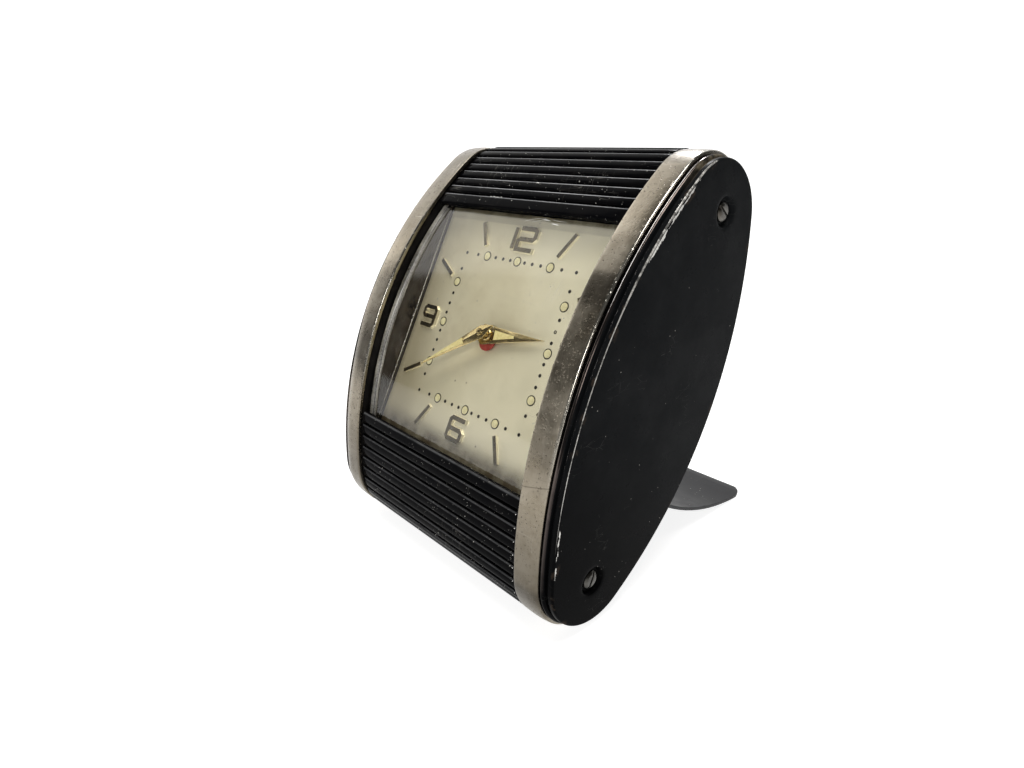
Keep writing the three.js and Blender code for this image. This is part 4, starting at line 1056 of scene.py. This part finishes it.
    # batons
    for hr in (1, 2, 4, 5, 7, 8, 10, 11):
        a = rad(30 * hr)
        s, cc = math.sin(a), math.cos(a)
        r_in = 22.5 if hr in (2, 4) else 21.6
        sweep(b, [(r_in * s, r_in * cc), (27.4 * s, 27.4 * cc)], 0.40, 0.52, 0.5, 1)
    new_object("fine_dial", b.mesh("dial"), [DIAL, APPLIED, GILT, PRINT, DOTP, FLANK_HIGHLIGHT, HIGHLIGHT_LIP], "case", ("dial",), 24)


dial()


# ------------------------------------------------------------------ hands
def hand_frame(deg):
    a = rad(deg)
    s, c = math.sin(a), math.cos(a)
    return lambda x, y, w: D(x * c + y * s, -x * s + y * c, w)


def dauphine(b, at, stations_, w0, ridge, mi=0):
    """Two-facet hand: stations are (along, half width)."""
    rings = []
    for y, hw in stations_:
        rr = ridge * min(1.0, hw / 0.7)
        rings.append([at(-hw, y, w0), at(-hw, y, w0 + 0.16), at(-hw * 0.93, y, w0 + 0.20), at(0, y, w0 + 0.20 + rr), at(hw * 0.93, y, w0 + 0.20), at(hw, y, w0 + 0.16), at(hw, y, w0)])
    b.loft(rings, mi=mi)


def lathe(b, at, prof, n=32, mi=0):
    rings = [[at(r * math.cos(2 * math.pi * k / n), r * math.sin(2 * math.pi * k / n), w) for k in range(n)] for r, w in prof]
    b.loft(rings, mi=mi)


def insert(b, at, y0, h0, y1, h1, w, mi):
    e = 0.07
    rings = []
    for y, h, ww in ((y0, h0, w - 0.10), (y0, h0 - e * 0.3, w), (y0 + e, h0 - e, w + 0.04), (y1 - e, max(0.03, h1 - e), w + 0.04), (y1, max(0.05, h1), w), (y1, max(0.05, h1), w - 0.10)):
        rings.append([at(-h, y, w - 0.12), at(-h, y, ww), at(h, y, ww), at(h, y, w - 0.12)])
    b.loft(rings, mi=mi)


b = Builder()
at = hand_frame(234.6)
MH = 3.2
dauphine(b, at, [(-3.4, 0.12), (-2.0, 0.72), (-0.3, 1.44), (0.4, 1.43), (3.0, 1.20), (6.0, 0.94), (10.0, 0.62), (14.0, 0.34), (17.0, 0.15), (18.3, 0.06)], MH, 0.26)
insert(b, at, 4.9, 0.76, 17.2, 0.06, MH + 0.46, 1)
lathe(b, at, [(0.78, MH), (0.78, MH + 0.50), (0.66, MH + 0.56), (0.50, MH + 0.56), (0.46, MH + 0.66), (0.30, MH + 0.74), (0.10, MH + 0.76)], 32, 0)
lathe(b, at, [(0.55, -3.6), (0.55, MH + 0.1)])
new_object("fine_minute_hand", b.mesh("minute_hand"), [GILT, CREAM], body_of("minute_hand"), ("minute_hand",), 18)
b = Builder()
at = hand_frame(82.4)
dauphine(b, at, [(-3.4, 0.2), (-1.4, 2.24), (0.2, 2.06), (3.0, 1.66), (6.0, 1.26), (9.0, 0.86), (12.0, 0.47), (14.4, 0.16), (15.8, 0.06)], 1.15, 0.16)
insert(b, at, 2.3, 1.08, 7.95, 0.34, 1.50, 1)
lathe(b, at, [(1.3, -2.4), (1.3, 1.60), (1.15, 1.72), (0.8, 1.74)])
new_object("fine_hour_hand", b.mesh("hour_hand"), [GILT, CREAM], body_of("hour_hand"), ("hour_hand",), 18)
o = refine("alarm_hand", RED, 0.05, 2)
o.data.materials.append(APPLIED)
c0 = hand_frame(84)(0.95, -0.05, 0.6)
for f in o.data.polygons:
    d = f.center - c0
    h = d.y * -C + d.z * S
    side_d = math.sqrt(max(0.0, d.length_squared - h * h)) * 1000
    if h * 1000 < -0.19 or (h * 1000 < 0.10 and side_d > 2.43):
        f.material_index = 1

# ------------------------------------------------------------------ foot, back and what is inside
refine("foot", FOOTP, 0.22, 3)
refine("case_back", BACKP, 0.14, 2)
for nm, mt, sl in (("foot_hinge_pin", STEEL, "steel"), ("upper_tie_rod", STEEL, "steel"), ("lower_tie_rod", STEEL, "steel"),
                   ("right_side_frame", FRAMEP, "dark_frame"), ("left_side_frame", FRAMEP, "dark_frame"),
                   ("movement_front_plate", BRASS, "brass"), ("movement_back_plate", BRASS, "brass"),
                   ("time_mainspring_drum", BRASS, "brass"), ("alarm_mainspring_drum", BRASS, "brass"),
                   ("centre_wheel", BRASS, "brass"), ("time_set_knob", BRASS, "brass"), ("alarm_set_knob", BRASS, "brass"),
                   ("time_wind_key", BRASS, "brass"), ("alarm_wind_key", BRASS, "brass"), ("alarm_shutoff_button", NICKEL, "nickel"),
                   ("escape_wheel", BRASS, "brass"), ("balance_wheel", BRASS, "brass"), ("alarm_hammer", STEEL, "steel")):
    refine(nm, mt, 0.07 if "frame" not in nm else 0.12, 2)

# ------------------------------------------------------------------ floor, light and camera
me = bpy.data.meshes.new("floor")
prof = [(-1.6, 0.0)] + [(0.55 + 0.35 * math.sin(rad(a)), 0.35 - 0.35 * math.cos(rad(a))) for a in range(0, 91, 9)] + [(0.9, 2.2)]
# the sweep rises behind the clock, seen along the camera's direction
dirx, diry = -0.7335, 0.6797
vs, fs = [], []
for i, (d, z) in enumerate(prof):
    for s in (-2.4, 2.4):
        vs.append((dirx * d + diry * s, diry * d - dirx * s, z - 0.0001))
for i in range(len(prof) - 1):
    fs.append((2 * i, 2 * i + 1, 2 * i + 3, 2 * i + 2))
me.from_pydata(vs, [], fs)
me.materials.append(make_floor())
me.shade_smooth()
floor = bpy.data.objects.new("floor", me)
bpy.context.scene.collection.objects.link(floor)


def area(name, loc, aim, size, power, color=(1, 1, 1), size_y=None):
    l = bpy.data.lights.new(name, "AREA")
    l.shape = "RECTANGLE"
    l.size, l.size_y = size, size_y or size
    l.energy = power
    l.color = color
    o = bpy.data.objects.new(name, l)
    o.location = loc
    o.rotation_euler = (Vector(aim) - Vector(loc)).to_track_quat("-Z", "Y").to_euler()
    bpy.context.scene.collection.objects.link(o)
    return o


area("key_light", (0.12, -0.10, 0.95), (0, 0, 0.04), 0.42, 6.0, (1, 0.985, 0.95))
area("top_back_light", (-0.35, 0.50, 0.62), (0, 0, 0.05), 0.12, 2.6, (0.97, 0.98, 1))
area("front_fill", (0.30, -0.95, 0.55), (0, 0, 0.04), 0.30, 3.0, (1, 0.985, 0.955))
soft = area("left_softbox", (-0.80, 0.05, 0.60), (0, -0.01, 0.06), 0.98, 2.25, (1, 0.985, 0.95), 0.84)
soft.visible_camera = False
world = bpy.data.worlds.new("studio")
world.use_nodes = True
world.node_tree.nodes["Background"].inputs[0].default_value = (0.10, 0.098, 0.092, 1)
world.node_tree.nodes["Background"].inputs[1].default_value = 1.0
bpy.context.scene.world = world

cam_data = bpy.data.cameras.new("camera")
cam_data.lens = 22.485
cam_data.sensor_width = 36
cam_data.clip_start = 0.01
cam = bpy.data.objects.new("camera", cam_data)
right, up, back = Vector((0.6797, 0.7335, 0.0)), Vector((-0.2584, 0.2395, 0.9359)), Vector((0.6865, -0.6360, 0.3523))
back.normalize()
right = (right - back * right.dot(back)).normalized()
up = back.cross(right)
cam.matrix_world = Matrix((
    (right.x, up.x, back.x, 0.09762), (right.y, up.y, back.y, -0.10559), (right.z, up.z, back.z, 0.08648), (0, 0, 0, 1)))
bpy.context.scene.collection.objects.link(cam)
bpy.context.scene.camera = cam
bpy.context.scene.view_settings.view_transform = "Standard"
